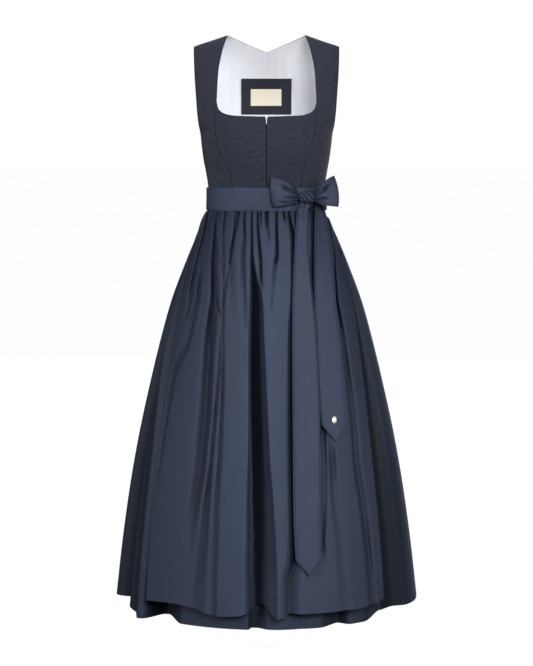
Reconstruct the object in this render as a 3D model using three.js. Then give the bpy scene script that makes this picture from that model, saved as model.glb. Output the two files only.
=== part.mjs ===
// Dirndl: sleeveless bodice with a square neckline and a centre zip, gathered skirt, half apron with a
// waistband, tie, bow and two hanging tails. Worn form, hollow, open at neck, armholes and hem.
// Millimetres, +Z up, the front faces -Y, +X is the wearer's left.
// The origin lies on the body axis at the height of the inner ends of the shoulder seams.
import * as THREE from "three";
import { mergeVertices } from "three/addons/utils/BufferGeometryUtils.js";

// ------------------------------------------------------------------ driving dimensions
const SEAM = 0.3; // clear gap between two pieces that are sewn together
const T_BODICE = 1.8; // textured outer cloth with its interlining
const T_LINING = 1.0;
const T_PATCH = 1.2;
const T_LABEL = 1.0;
const T_ZIP = 1.0;
const T_SKIRT = 1.4;
const T_APRON = 1.2;
const T_BAND = 2.2; // two layers of apron cloth, interfaced
const T_RIBBON = 1.6; // two layers of apron cloth
const LOOSE = 1.3; // the lining hangs this far clear of the outer cloth
const NECK_HALF = 88.4; // half distance between the inner ends of the shoulder seams
const SHOULDER_SLOPE = 0.342; // fall of the shoulder seam per mm outwards
const BACK_NECK_Z = -35.3; // lowest point of the V of the back neckline
const WAIST_Z = -366; // waist seam, hidden under the band
const BAND_TOP_Z = -338;
const BAND_LOW_Z = -393;
const HEM_Z = -1285;
const ZIP_GAP = 0.8; // half of the slit that shows the zip
const KNOT_ANGLE = 44; // where the band meets the tie, under the bow
const KNOT = { x: 88, y: -102, z: -361, halfX: 18.4, halfY: 8, halfZ: 12 };
const STUD = { x: 147, z: -840, halfWide: 5.5, halfTall: 7.5, high: 2.6 };

// ------------------------------------------------------------------ tables
// Torso by height: half width with the arms' width above the armholes, exponent of the oval.
//   z, half width, exponent
const TORSO = [
  [40, 188, 2.4],
  [0, 187, 2.4],
  [-60, 185, 2.4],
  [-110, 182, 2.4],
  [-150, 178, 2.4],
  [-184, 169.5, 2.4],
  [-205, 157.5, 2.4],
  [-215, 150.9, 2.4],
  [-248, 146.9, 2.38],
  [-280, 142.9, 2.35],
  [-302, 139, 2.3],
  [-338, 133.6, 2.25],
  [-366, 131.5, 2.2],
];
// Torso depth by distance under the shoulder line.
//   level, front depth, back depth
const TORSO_DEPTH = [
  [0, 0, 0],
  [-4, 13, 12],
  [-12, 24, 22],
  [-26, 38, 34],
  [-50, 55, 50],
  [-80, 71, 64],
  [-115, 87, 76],
  [-150, 101, 85],
  [-184, 113, 90],
  [-215, 121, 93],
  [-240, 124, 94],
  [-265, 121, 93],
  [-290, 113.5, 90],
  [-315, 105, 87],
  [-338, 98.5, 85],
  [-366, 95, 84],
];
// Skirt outline through the tops of its folds.
//   z, half width, front depth, back depth, exponent
const SKIRT = [
  [-366, 131.5, 95, 84, 2.2],
  [-393, 133.5, 97.5, 86, 2.2],
  [-416, 144.5, 112, 98, 2.15],
  [-461, 164.5, 136, 122, 2.1],
  [-530, 192.5, 163, 150, 2.08],
  [-599, 218, 183, 172, 2.05],
  [-691, 244, 205, 196, 2.02],
  [-784, 267, 225, 217, 2.0],
  [-900, 293, 248, 240, 2.0],
  [-1019, 315, 268, 262, 2.0],
  [-1161, 335.7, 287, 282, 2.0],
  [-1300, 352, 303.5, 299, 2.0],
];
// How far the apron stands off the skirt's outline.
//   z, stand-off
const APRON_OFF = [
  [-393, 3.4],
  [-416, 5.5],
  [-461, 8],
  [-600, 12],
  [-850, 18],
  [-1100, 26],
  [-1300, 31],
];
// Band and tie round the waist, outer face.
//   z, half width, front depth, back depth, exponent
const BAND = [
  [-338, 136.9, 102.4, 88.8, 2.25],
  [-366, 136.9, 102.2, 89.5, 2.22],
  [-393, 137.5, 102.2, 90.6, 2.2],
];
// Right and left neckline, princess seams and armholes: x by z, from the top down.
const NECK = [
  [88.4, 0],
  [93.8, -16],
  [98.9, -35.5],
  [103.6, -58],
  [107.3, -80],
  [109.4, -113],
  [111, -150],
];
const NECK_CORNER = [
  [36, -183.6],
  [72, -182.2],
  [95, -176.5],
  [106.7, -166],
  [111, -150],
];
const ARM_FRONT = [
  [164, -26],
  [163.6, -42],
  [162.9, -60],
  [161.9, -82],
  [160.3, -107],
  [158.2, -135],
  [156.2, -163],
  [154.2, -187],
  [152.4, -203.5],
  [151.2, -212.5],
  [150.9, -215],
];
// Princess seams of the front: z, x on the wearer's left (+X), x on the wearer's right (-X)
const PRINCESS = [
  [-150, 111, -111],
  [-178, 110.5, -113.5],
  [-200, 109, -113.5],
  [-218, 105.5, -113],
  [-238, 100.5, -110.5],
  [-256, 95, -107],
  [-272, 90, -99],
  [-288, 85.5, -91],
  [-306, 81.5, -82],
  [-324, 78, -77.5],
  [-345, 74, -75],
  [-366, 71, -73],
];
// Back princess seams: x by z, from the armhole down.
const BACK_SEAM = [
  [158, -138],
  [146, -158],
  [131, -180],
  [114, -206],
  [98, -234],
  [83, -266],
  [70, -300],
  [60, -333],
  [54, -366],
];

// Heights at which the fold tables are read.
const LEVELS = [-393, -470, -580, -740, -950, -1285];
// Each fold is a valley between two broad crests. at: its angle round the body in degrees (0 = centre front,
// 90 = wearer's left) at each level; deep: its depth in mm at each level; left, right: how wide its two
// sides are in mm at the top, the middle and the hem. main: the cloth's mesh has columns on it.
const APRON_FOLDS = [
  { name: "hip_right", main: 0, at: [-66, -50, -43.5, -47, -49, -49], deep: [1, 3, 6, 5, 0, 0], left: [8, 18, 24], right: [8, 22, 26] },
  { name: "second", main: 1, at: [-53.6, -42.5, -34, -28.5, -26.7, -28], deep: [1.2, 6.5, 9.5, 12, 9, 2], left: [7, 14, 20], right: [8, 22, 34] },
  { name: "third", main: 1, at: [-37.3, -31.2, -25, -22.2, -21.1, -21.4], deep: [1.5, 6, 8, 12, 17, 20], left: [6, 16, 52], right: [6, 12, 26] },
  { name: "gather_a", main: 0, at: [-29.1, -24.5, -22, -20, -18, -16], deep: [1.5, 4.5, 0, 0, 0, 0], left: [6, 8, 8], right: [6, 8, 8] },
  { name: "gather_b", main: 0, at: [-19.3, -15.3, -14, -13, -12, -11], deep: [1.6, 5, 1, 0, 0, 0], left: [6, 9, 9], right: [6, 9, 9] },
  { name: "deepest", main: 1, at: [-12.7, -9.7, -6.9, -4.6, -4.1, -2.4], deep: [1.7, 17, 30, 38, 39, 28], left: [6, 12, 15], right: [7, 18, 38] },
  { name: "gather_c", main: 0, at: [-7.0, -4.8, -4, -3, -2, -1], deep: [1.5, 4, 1.5, 0, 0, 0], left: [6, 10, 10], right: [6, 12, 12] },
  { name: "gather_d", main: 0, at: [1.0, 0.8, 1, 2, 3, 4], deep: [1.6, 3, 0, 0, 0, 0], left: [6, 9, 9], right: [6, 9, 9] },
  { name: "gather_e", main: 0, at: [7.4, 7.1, 7, 7, 7, 7], deep: [1.6, 5, 2, 0, 0, 0], left: [6, 9, 9], right: [6, 10, 10] },
  { name: "under_tail", main: 1, at: [18.2, 18, 15, 11.2, 9.9, 9.2], deep: [1.5, 7, 9, 11, 12, 12], left: [6, 14, 34], right: [6, 14, 20] },
  { name: "between_tails", main: 1, at: [42.9, 41, 33.5, 26, 22.8, 21], deep: [1.5, 6, 9, 10, 9, 6], left: [6, 14, 22], right: [6, 14, 24] },
  { name: "right_soft", main: 1, at: [70, 57, 44.3, 40, 38, 38.5], deep: [1.4, 4, 7, 7, 8, 5], left: [6, 14, 24], right: [6, 16, 18] },
];
const SKIRT_FOLDS = [
  { name: "side_right", main: 1, at: [-88, -87, -83, -79, -77.5, -77], deep: [1, 3, 14, 32, 46, 56], left: [8, 28, 54], right: [10, 60, 128] },
  { name: "beside_crest", main: 1, at: [-45, -42, -40, -39, -38, -38], deep: [1, 3, 8, 20, 38, 56], left: [10, 40, 88], right: [10, 24, 36] },
  { name: "third_under", main: 0, at: [-37.3, -31.2, -25, -22.2, -21.1, -21.4], deep: [1, 3, 4, 4, 3, 0], left: [6, 16, 30], right: [6, 14, 26] },
  { name: "deepest_under", main: 1, at: [-12.7, -9.7, -6.9, -4.6, -4.1, -2.4], deep: [1, 14, 24, 29, 27, 5], left: [6, 15, 22], right: [7, 20, 40] },
  { name: "tail_under", main: 1, at: [18.2, 18, 15, 13, 12, 12], deep: [1, 6, 8, 7, 5, 2], left: [6, 16, 30], right: [6, 16, 26] },
  { name: "step_left", main: 1, at: [36, 33, 31, 29, 27, 26], deep: [1, 4, 8, 14, 20, 24], left: [8, 24, 42], right: [8, 22, 36] },
  { name: "side_left", main: 1, at: [79, 73, 65, 56, 50, 46], deep: [1, 4, 12, 30, 46, 58], left: [8, 26, 50], right: [10, 90, 180] },
  { name: "left_b", main: 1, at: [99, 99, 100, 101, 102, 102], deep: [2, 8, 16, 24, 30, 34], left: [8, 26, 42], right: [8, 24, 46] },
  { name: "left_c", main: 1, at: [113, 114, 115, 116, 118, 119], deep: [2, 10, 18, 28, 34, 30], left: [8, 22, 34], right: [8, 28, 46] },
  { name: "left_d", main: 1, at: [130, 131, 131, 132, 133, 133], deep: [2, 9, 20, 30, 38, 44], left: [8, 24, 40], right: [8, 22, 36] },
  { name: "back_a", main: 1, at: [147, 148, 148, 148, 148, 148], deep: [2, 12, 18, 26, 30, 32], left: [8, 22, 36], right: [8, 26, 44] },
  { name: "back_b", main: 1, at: [162, 163, 164, 164, 165, 165], deep: [2, 8, 20, 32, 40, 42], left: [8, 22, 36], right: [8, 24, 34] },
  { name: "back_c", main: 1, at: [177, 178, 179, 180, 181, 181], deep: [2, 10, 20, 26, 28, 26], left: [8, 26, 38], right: [8, 26, 42] },
  { name: "back_d", main: 1, at: [193, 194, 195, 196, 197, 198], deep: [2, 12, 22, 34, 42, 46], left: [8, 22, 34], right: [8, 22, 38] },
  { name: "right_d", main: 1, at: [211, 211, 212, 213, 213, 214], deep: [2, 8, 16, 24, 30, 34], left: [8, 22, 38], right: [8, 26, 40] },
  { name: "right_c", main: 1, at: [229, 229, 230, 230, 231, 231], deep: [2, 11, 20, 30, 38, 40], left: [8, 24, 38], right: [8, 24, 42] },
  { name: "right_b", main: 1, at: [248, 247, 247, 247, 247, 248], deep: [2, 9, 16, 24, 28, 30], left: [8, 24, 40], right: [8, 26, 38] },
];
// Side edges of the apron: angle at each level.
const APRON_EDGE_RIGHT = [-83, -67.5, -58.5, -53, -48.8, -45.2];
const APRON_EDGE_LEFT = [76, 69, 58.3, 52, 47, 44.3];
// Hem of the apron: angle, z
const APRON_HEM = [
  [-46, -1240],
  [-42, -1238],
  [-34, -1236],
  [-27, -1239],
  [-21, -1247],
  [-16, -1252],
  [-9, -1249],
  [-4, -1237],
  [-1.5, -1233],
  [1.2, -1243],
  [3.5, -1254],
  [6, -1254],
  [9, -1246],
  [16, -1246],
  [30, -1246],
  [39.5, -1241],
  [44.5, -1234],
];
// Tails of the bow: z, left edge x, right edge x. The last row is the point.
const TAIL_LONG = [
  [-377, 80, 103],
  [-400, 71, 103.2],
  [-424, 65, 103.4],
  [-502, 58, 104.4],
  [-583, 55.5, 106],
  [-674, 55.2, 110.6],
  [-768, 55.7, 115.8],
  [-900, 56.5, 117.6],
  [-1041, 57.6, 118.5],
  [-1130, 62, 118.3],
  [-1165, 92.2, 92.8],
];
const TAIL_SHORT = [
  [-379, 103, 119],
  [-399, 103, 129],
  [-428, 103.3, 138.5],
  [-459, 103.5, 142.7],
  [-503, 103.8, 147.5],
  [-585, 105, 153.1],
  [-677, 108, 164.4],
  [-772, 112, 171.2],
  [-849, 119.5, 176.6],
  [-889, 152, 152.8],
];
// How far the inner face of each tail stands off the apron's outline: z, short tail, long tail
const TAIL_OFF = [
  [-377, 6.2, 8.9],
  [-400, 3.6, 6.3],
  [-440, 1.4, 4.1],
  [-1300, 1.4, 4.1],
];
// Loops of the bow. ends: x, y at the knot and at the far end; top, low: z at the knot and the far end;
// tilt: how much further out the far end is at the bottom and the middle than at the top.
const LOOPS = {
  bow_loop_right: { from: [69.0, -101], to: [9.5, -113], top: [-345, -314.5], low: [-373, -381], tilt: [-5, 3.5], bulge: 11, flat: 0.62 },
  bow_loop_left: { from: [107.0, -99], to: [150, -86], top: [-350, -313.5], low: [-372, -383], tilt: [10.5, 5.5], bulge: 10, flat: 0.62 },
};

// ------------------------------------------------------------------ small mathematics
const rad = (d) => (d * Math.PI) / 180;
const add = (a, b, k = 1) => [a[0] + k * b[0], a[1] + k * b[1], a[2] + k * b[2]];
const cross = (a, b) => [a[1] * b[2] - a[2] * b[1], a[2] * b[0] - a[0] * b[2], a[0] * b[1] - a[1] * b[0]];
const unit = (a) => {
  const l = Math.hypot(...a);
  return [a[0] / l, a[1] / l, a[2] / l];
};
const clamp = (x, a, b) => Math.min(b, Math.max(a, x));

// Monotone cubic through a table's column; the value is held past the ends.
function curve(xs, ys) {
  const up = xs[0] < xs[xs.length - 1];
  const X = up ? xs : [...xs].reverse(),
    Y = up ? ys : [...ys].reverse(),
    n = X.length;
  const h = [],
    d = [];
  for (let i = 0; i < n - 1; i++) {
    h.push(X[i + 1] - X[i]);
    d.push((Y[i + 1] - Y[i]) / h[i]);
  }
  const m = new Array(n).fill(0);
  m[0] = d[0];
  m[n - 1] = d[n - 2];
  for (let i = 1; i < n - 1; i++)
    if (d[i - 1] * d[i] > 0) {
      const a = 2 * h[i] + h[i - 1],
        b = h[i] + 2 * h[i - 1];
      m[i] = (a + b) / (a / d[i - 1] + b / d[i]);
    }
  return (x) => {
    const q = clamp(x, X[0], X[n - 1]);
    let i = 0;
    while (i < n - 2 && q > X[i + 1]) i++;
    const t = (q - X[i]) / h[i],
      t2 = t * t,
      t3 = t2 * t;
    return (2 * t3 - 3 * t2 + 1) * Y[i] + (t3 - 2 * t2 + t) * h[i] * m[i] + (-2 * t3 + 3 * t2) * Y[i + 1] + (t3 - t2) * h[i] * m[i + 1];
  };
}
const column = (table, k, key = 0) => curve(table.map((r) => r[key]), table.map((r) => r[k]));

// ------------------------------------------------------------------ torso surface
const torsoWide = column(TORSO, 1),
  torsoPower = column(TORSO, 2),
  torsoFront = column(TORSO_DEPTH, 1),
  torsoBack = column(TORSO_DEPTH, 2);
const shoulderLine = (x) => SHOULDER_SLOPE * (NECK_HALF - Math.abs(x));

// side -1 is the front, 1 the back; angle is measured from the centre line towards +X.
function torso(side, angle, z) {
  const wide = torsoWide(z),
    p = 2 / torsoPower(z),
    s = Math.sin(angle),
    c = Math.max(0, Math.cos(angle));
  const x = wide * Math.sign(s) * Math.abs(s) ** p;
  const fade = clamp(1 + z / 220, 0, 1);
  const level = z - shoulderLine(x) * fade;
  const depth = (side < 0 ? torsoFront : torsoBack)(Math.min(0, level));
  return [x, side * (SEAM / 2 + depth * c ** p), z];
}
const torsoAngle = (x, z) => Math.sign(x) * Math.asin(clamp(Math.abs(x) / torsoWide(z), 0, 1) ** (torsoPower(z) / 2));
function torsoNormal(side, angle, z) {
  const a = clamp(angle, -1.5, 1.5),
    e = 0.004;
  const u = add(torso(side, a + e, z), torso(side, a - e, z), -1),
    v = add(torso(side, a, z + 0.4), torso(side, a, z - 0.4), -1);
  let n = unit(cross(u, v));
  if (n[1] * side < 0) n = n.map((k) => -k);
  if (Math.abs(angle) > 1.5) n = [Math.sign(angle), 0, 0];
  // Along the shoulder seam both sides share one normal, square to the seam.
  const p = torso(side, angle, z),
    under = shoulderLine(p[0]) - z,
    w = clamp(1 - under / 8, 0, 1);
  const ridge = unit([Math.sign(p[0]) * SHOULDER_SLOPE, 0, 1]);
  return unit(add(n.map((k) => k * (1 - w)), ridge, w));
}

// ------------------------------------------------------------------ skirt and apron surfaces
const ring = (table) => [1, 2, 3, 4].map((k) => column(table, k));
const SKIRT_RING = ring(SKIRT),
  BAND_RING = ring(BAND),
  apronOff = column(APRON_OFF, 1);
// Point on an oval, angle in degrees from the centre front towards +X, grown outwards by off.
function oval(rings, deg, z, off = 0) {
  const [wide, front, back, power] = rings.map((f) => f(z));
  const a = rad(deg),
    s = Math.sin(a),
    c = Math.cos(a),
    p = 2 / power;
  return [(wide + off) * Math.sign(s) * Math.abs(s) ** p, c >= 0 ? -(front + off) * c ** p : (back + off) * (-c) ** p, z];
}
function ovalOut(rings, deg, z, off = 0) {
  const a = oval(rings, deg + 0.4, z, off),
    b = oval(rings, deg - 0.4, z, off);
  return unit([-(a[1] - b[1]), a[0] - b[0], 0]).map((k) => -k);
}
const ready = (folds) =>
  folds.map((f) => ({
    ...f,
    angle: curve(LEVELS, f.at),
    depth: curve(LEVELS, f.deep),
    lw: curve([LEVELS[0], LEVELS[3], LEVELS[5]], f.left),
    rw: curve([LEVELS[0], LEVELS[3], LEVELS[5]], f.right),
  }));
const APRON = ready(APRON_FOLDS),
  SKIRTS = ready(SKIRT_FOLDS);
const turn = (d) => ((((d + 180) % 360) + 360) % 360) - 180; // to -180..180
function foldDepth(folds, deg, z) {
  const [wide, front, back] = SKIRT_RING.map((f) => f(z));
  let total = 0;
  for (const f of folds) {
    const deep = f.depth(z);
    if (deep <= 0) continue;
    const gap = turn(deg - f.angle(z));
    const mid = rad(f.angle(z) + gap / 2),
      depth = Math.cos(mid) >= 0 ? front : back;
    const mm = rad(gap) * Math.hypot(wide * Math.cos(mid), depth * Math.sin(mid));
    const t = mm < 0 ? -mm / f.lw(z) : mm / f.rw(z);
    if (t < 1) total += deep * 0.5 * (1 + Math.cos(Math.PI * t));
  }
  return total;
}
function folded(folds, deg, z, off) {
  const n = ovalOut(SKIRT_RING, deg, z, off);
  return add(oval(SKIRT_RING, deg, z, off), n, -foldDepth(folds, deg, z));
}
const skirt = (deg, z) => folded(SKIRTS, deg, z, 0);
const apron = (deg, z) => folded(APRON, deg, z, apronOff(z));
function outward(surface, deg, z) {
  const u = add(surface(deg + 0.15, z), surface(deg - 0.15, z), -1);
  const v = add(surface(deg, z + 0.5), surface(deg, z - 0.5), -1);
  let n = unit(cross(u, v));
  const a = rad(deg);
  if (n[0] * Math.sin(a) - n[1] * Math.cos(a) < 0) n = n.map((k) => -k);
  return n;
}

// ------------------------------------------------------------------ cloth walls
// A closed wall over a grid. place(i, j) gives the outer point p and the outward normal n; the inner face
// lies t inside it. The rim closes all four sides.
function wall(nu, nv, t, place) {
  const pos = [],
    idx = [],
    w = nv + 1,
    half = (nu + 1) * w;
  for (const inner of [0, 1])
    for (let i = 0; i <= nu; i++)
      for (let j = 0; j <= nv; j++) {
        const { p, n } = place(i, j);
        pos.push(...(inner ? add(p, n, -t) : p));
      }
  const at = (i, j, k = 0) => k * half + i * w + j;
  const quad = (a, b, c, d) => idx.push(a, b, c, a, c, d);
  for (let i = 0; i < nu; i++)
    for (let j = 0; j < nv; j++) {
      quad(at(i, j), at(i + 1, j), at(i + 1, j + 1), at(i, j + 1));
      quad(at(i, j, 1), at(i, j + 1, 1), at(i + 1, j + 1, 1), at(i + 1, j, 1));
    }
  for (let i = 0; i < nu; i++) {
    quad(at(i, 0), at(i, 0, 1), at(i + 1, 0, 1), at(i + 1, 0));
    quad(at(i, nv), at(i + 1, nv), at(i + 1, nv, 1), at(i, nv, 1));
  }
  for (let j = 0; j < nv; j++) {
    quad(at(0, j), at(0, j + 1), at(0, j + 1, 1), at(0, j, 1));
    quad(at(nu, j), at(nu, j, 1), at(nu, j + 1, 1), at(nu, j + 1));
  }
  return outwardFaces(pos, idx);
}
function outwardFaces(pos, idx) {
  let volume = 0;
  for (let k = 0; k < idx.length; k += 3) {
    const [a, b, c] = [0, 1, 2].map((q) => pos.slice(3 * idx[k + q], 3 * idx[k + q] + 3));
    volume += a[0] * (b[1] * c[2] - b[2] * c[1]) + a[1] * (b[2] * c[0] - b[0] * c[2]) + a[2] * (b[0] * c[1] - b[1] * c[0]);
  }
  if (volume < 0) for (let k = 0; k < idx.length; k += 3) [idx[k + 1], idx[k + 2]] = [idx[k + 2], idx[k + 1]];
  const g = new THREE.BufferGeometry();
  g.setAttribute("position", new THREE.Float32BufferAttribute(pos, 3));
  g.setIndex(idx);
  return g;
}

// ------------------------------------------------------------------ bodice
// A panel is a Coons patch in (angle, z) between four edges given as [x, z] points on one side of the torso.
function resample(points, n) {
  const run = [0];
  for (let i = 1; i < points.length; i++) run.push(run[i - 1] + Math.hypot(points[i][0] - points[i - 1][0], points[i][1] - points[i - 1][1]));
  const fx = curve(run, points.map((p) => p[0])),
    fz = curve(run, points.map((p) => p[1])),
    end = run[run.length - 1];
  return Array.from({ length: n + 1 }, (_, i) => [fx((end * i) / n), fz((end * i) / n)]);
}
function coons(left, right, top, low) {
  const toAngle = ([x, z]) => [torsoAngle(x, z), z];
  const [L, R, T, B] = [left, right, top, low].map((e) => e.map(toAngle));
  const nu = T.length - 1,
    nv = L.length - 1;
  return {
    nu,
    nv,
    at(i, j) {
      const u = i / nu,
        v = j / nv;
      return [0, 1].map(
        (k) =>
          (1 - v) * T[i][k] + v * B[i][k] + (1 - u) * L[j][k] + u * R[j][k] -
          ((1 - u) * (1 - v) * T[0][k] + u * (1 - v) * T[nu][k] + (1 - u) * v * B[0][k] + u * v * B[nu][k]),
      );
    },
  };
}
function panel(side, patch, inset, t) {
  return wall(patch.nu, patch.nv, t, (i, j) => {
    const [a, z] = patch.at(i, j),
      n = torsoNormal(side, a, z);
    return { p: add(torso(side, a, z), n, -inset), n };
  });
}
const line = (a, b, n) => Array.from({ length: n + 1 }, (_, i) => [a[0] + ((b[0] - a[0]) * i) / n, a[1] + ((b[1] - a[1]) * i) / n]);
const mirror = (pts) => pts.map(([x, z]) => [-x, z]);
const sideSeam = (z) => [torsoWide(z), z];
const WAIST = [torsoWide(WAIST_Z), WAIST_Z];
const g2 = SEAM / 2;
const TAIL_ROWS = 14;
const SEAM_ROWS = 8; // rows of the cloth's mesh along a princess seam, alike on both sides of it

function centreFront(sign) {
  const seam = PRINCESS.map((r) => [(sign > 0 ? r[1] - g2 : r[2] + g2), r[0]]);
  const inner = [
    [3.6, -184.6],
    [1.6, -194],
    [ZIP_GAP, -203],
    [ZIP_GAP, -300],
    [ZIP_GAP, WAIST_Z],
  ].map(([x, z]) => [sign * x, z]);
  const neck = [[3.6, -184.6], ...NECK_CORNER].map(([x, z]) => [sign * x, z]);
  neck[neck.length - 1][0] = seam[0][0];
  return coons(resample(inner, SEAM_ROWS), resample(seam, SEAM_ROWS), resample(neck, 7), line(inner[4], seam[seam.length - 1], 7));
}
function sideFront(sign) {
  const seam = resample(PRINCESS.map((r) => [(sign > 0 ? r[1] + g2 : r[2] - g2), r[0]]), SEAM_ROWS);
  const neck = NECK.map(([x, z]) => [sign * x, z]);
  neck[neck.length - 1][0] = seam[0][0];
  const inner = [...resample(neck, 6), ...seam.slice(1)];
  const arm = ARM_FRONT.map(([x, z]) => [sign * x, z]);
  const outer = [...resample(arm, 9), ...[-240, -270, -303, -335, WAIST_Z].map((z) => [sign * torsoWide(z), z])];
  return coons(inner, outer, line(inner[0], arm[0], 5), line(inner[inner.length - 1], outer[outer.length - 1], 5));
}
const BACK_ROWS = 7; // rows of the cloth's mesh along a back seam, alike on both sides of it
// The back seam moved sideways, the first point slid along the armhole so that the two sides stay apart there.
const backSeam = (by) => resample(BACK_SEAM.map(([x, z], k) => [x + by, k ? z : z - by]), BACK_ROWS);
function backOutline(drop, n) {
  const top = [
    ...line([-164, -26], [-NECK_HALF, 0], n),
    ...line([-NECK_HALF, 0], [0, BACK_NECK_Z], 4).slice(1),
    ...line([0, BACK_NECK_Z], [NECK_HALF, 0], 4).slice(1),
    ...line([NECK_HALF, 0], [164, -26], n).slice(1),
  ];
  return top.map(([x, z]) => [x, z - drop]);
}
function centreBack(drop) {
  const seam = backSeam(-g2);
  const right = [...resample([...ARM_FRONT.slice(0, 5), seam[0]], 3), ...seam.slice(1)];
  const low = line([-right[right.length - 1][0], WAIST_Z], right[right.length - 1], 12);
  return coons(mirror(right), right, backOutline(drop, 2), low);
}
function sideBack(sign) {
  const seam = backSeam(g2).map(([x, z]) => [sign * x, z]);
  const arm = resample([[Math.abs(seam[0][0]), seam[0][1]], ...ARM_FRONT.slice(6)], 5).map(([x, z]) => [sign * x, z]);
  const side = resample([-215, -248, -280, -302, -338, WAIST_Z].map((z) => sideSeam(z)), BACK_ROWS).map(([, z]) => [sign * torsoWide(z), z]);
  return coons(seam, side, arm, line(seam[BACK_ROWS], side[BACK_ROWS], 5));
}
const patchOn = (x0, x1, z0, z1, nu, nv) => coons(line([x0, z0], [x0, z1], nv), line([x1, z0], [x1, z1], nv), line([x0, z0], [x1, z0], nu), line([x0, z1], [x1, z1], nu));

// ------------------------------------------------------------------ skirt, apron, band
// Column angles between two valleys: the bottom, half way up, the edge of the crest, its middle, and so on.
function columnsBetween(a, b, folds, z, fine) {
  const from = folds[a],
    to = folds[b];
  const p = from.angle(z),
    q = p + ((((to.angle(z) - p) % 360) + 360) % 360);
  const scale = (deg) => Math.hypot(SKIRT_RING[0](z) * Math.cos(rad(deg)), SKIRT_RING[1](z) * Math.sin(rad(deg)));
  const mm = rad(q - p) * scale((p + q) / 2),
    up = Math.min(from.rw(z) / mm, 0.42),
    down = Math.min(to.lw(z) / mm, 0.42);
  const stops = fine ? [0, up * 0.5, up, (up + 1 - down) / 2, 1 - down, 1 - down * 0.5] : [0, up, (up + 1 - down) / 2, 1 - down];
  return stops.map((t) => p + (q - p) * t);
}
const SKIRT_ROWS = [WAIST_Z - SEAM, -393, -420, -470, -560, -700, -870, -1070, HEM_Z];
const MAIN_SKIRT = SKIRTS.filter((f) => f.main);
const valley = (name) => MAIN_SKIRT.findIndex((f) => f.name === name);
function skirtPanel(fromName, toName, fine) {
  const names = [];
  for (let k = valley(fromName); ; k = (k + 1) % MAIN_SKIRT.length) {
    names.push(k);
    if (MAIN_SKIRT[k].name === toName) break;
  }
  const grid = SKIRT_ROWS.map((z) => {
    const row = [];
    for (let k = 0; k < names.length - 1; k++) row.push(...columnsBetween(names[k], names[k + 1], MAIN_SKIRT, z, fine));
    const last = MAIN_SKIRT[names[names.length - 1]].angle(z);
    row.push(row[row.length - 1] + ((((last - row[row.length - 1]) % 360) + 360) % 360));
    const per = (deg) => g2 / (rad(1) * Math.hypot(SKIRT_RING[0](z) * Math.cos(rad(deg)), SKIRT_RING[1](z) * Math.sin(rad(deg))));
    row[0] += per(row[0]);
    row[row.length - 1] -= per(row[row.length - 1]);
    return row;
  });
  return wall(grid[0].length - 1, SKIRT_ROWS.length - 1, T_SKIRT, (i, j) => {
    const deg = grid[j][i],
      z = SKIRT_ROWS[j];
    return { p: skirt(deg, z), n: outward(skirt, deg, z) };
  });
}
function apronPanel() {
  const edgeR = curve(LEVELS, APRON_EDGE_RIGHT),
    edgeL = curve(LEVELS, APRON_EDGE_LEFT),
    hem = column(APRON_HEM, 1);
  const main = APRON.filter((f) => f.main);
  const columns = (z) => {
    const stops = [edgeR(z), ...main.map((f) => f.angle(z)), edgeL(z)];
    const out = [];
    for (let k = 0; k < stops.length - 1; k++) {
      const p = stops[k],
        q = stops[k + 1],
        mm = rad(q - p) * Math.hypot(SKIRT_RING[0](z) * Math.cos(rad((p + q) / 2)), SKIRT_RING[1](z) * Math.sin(rad((p + q) / 2)));
      const up = k ? Math.min(main[k - 1].rw(z) / mm, 0.42) : 0.3,
        down = k < main.length ? Math.min(main[k].lw(z) / mm, 0.42) : 0.3;
      out.push(...[0, up * 0.5, up, (up + 1 - down) / 2, 1 - down, 1 - down * 0.5].map((t) => p + (q - p) * t));
    }
    out.push(stops[stops.length - 1]);
    return out;
  };
  const parts = [0, 0.022, 0.05, 0.1, 0.19, 0.33, 0.52, 0.76, 1];
  const top = BAND_LOW_Z - SEAM;
  const rows = parts.map((v, j) =>
    columns(top + (-1243 - top) * v).map((deg, i) => {
      const low = hem(columns(-1243)[i]);
      return [deg, top + (low - top) * v];
    }),
  );
  return wall(rows[0].length - 1, parts.length - 1, T_APRON, (i, j) => {
    const [deg, z] = rows[j][i];
    return { p: apron(deg, z), n: outward(apron, deg, z) };
  });
}
function bandPiece(from, to, steps) {
  const rows = [BAND_TOP_Z, -356, -375, BAND_LOW_Z];
  return wall(steps, rows.length - 1, T_BAND, (i, j) => {
    const deg = from + ((to - from) * i) / steps,
      z = rows[j];
    return { p: oval(BAND_RING, deg, z), n: ovalOut(BAND_RING, deg, z) };
  });
}

// ------------------------------------------------------------------ bow
const tailOff = [column(TAIL_OFF, 1), column(TAIL_OFF, 2)];
const skirtAngle = (x, z, off) => (180 / Math.PI) * Math.asin(clamp(Math.abs(x) / (SKIRT_RING[0](z) + off), 0, 1) ** (SKIRT_RING[3](z) / 2)) * Math.sign(x);
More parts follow.
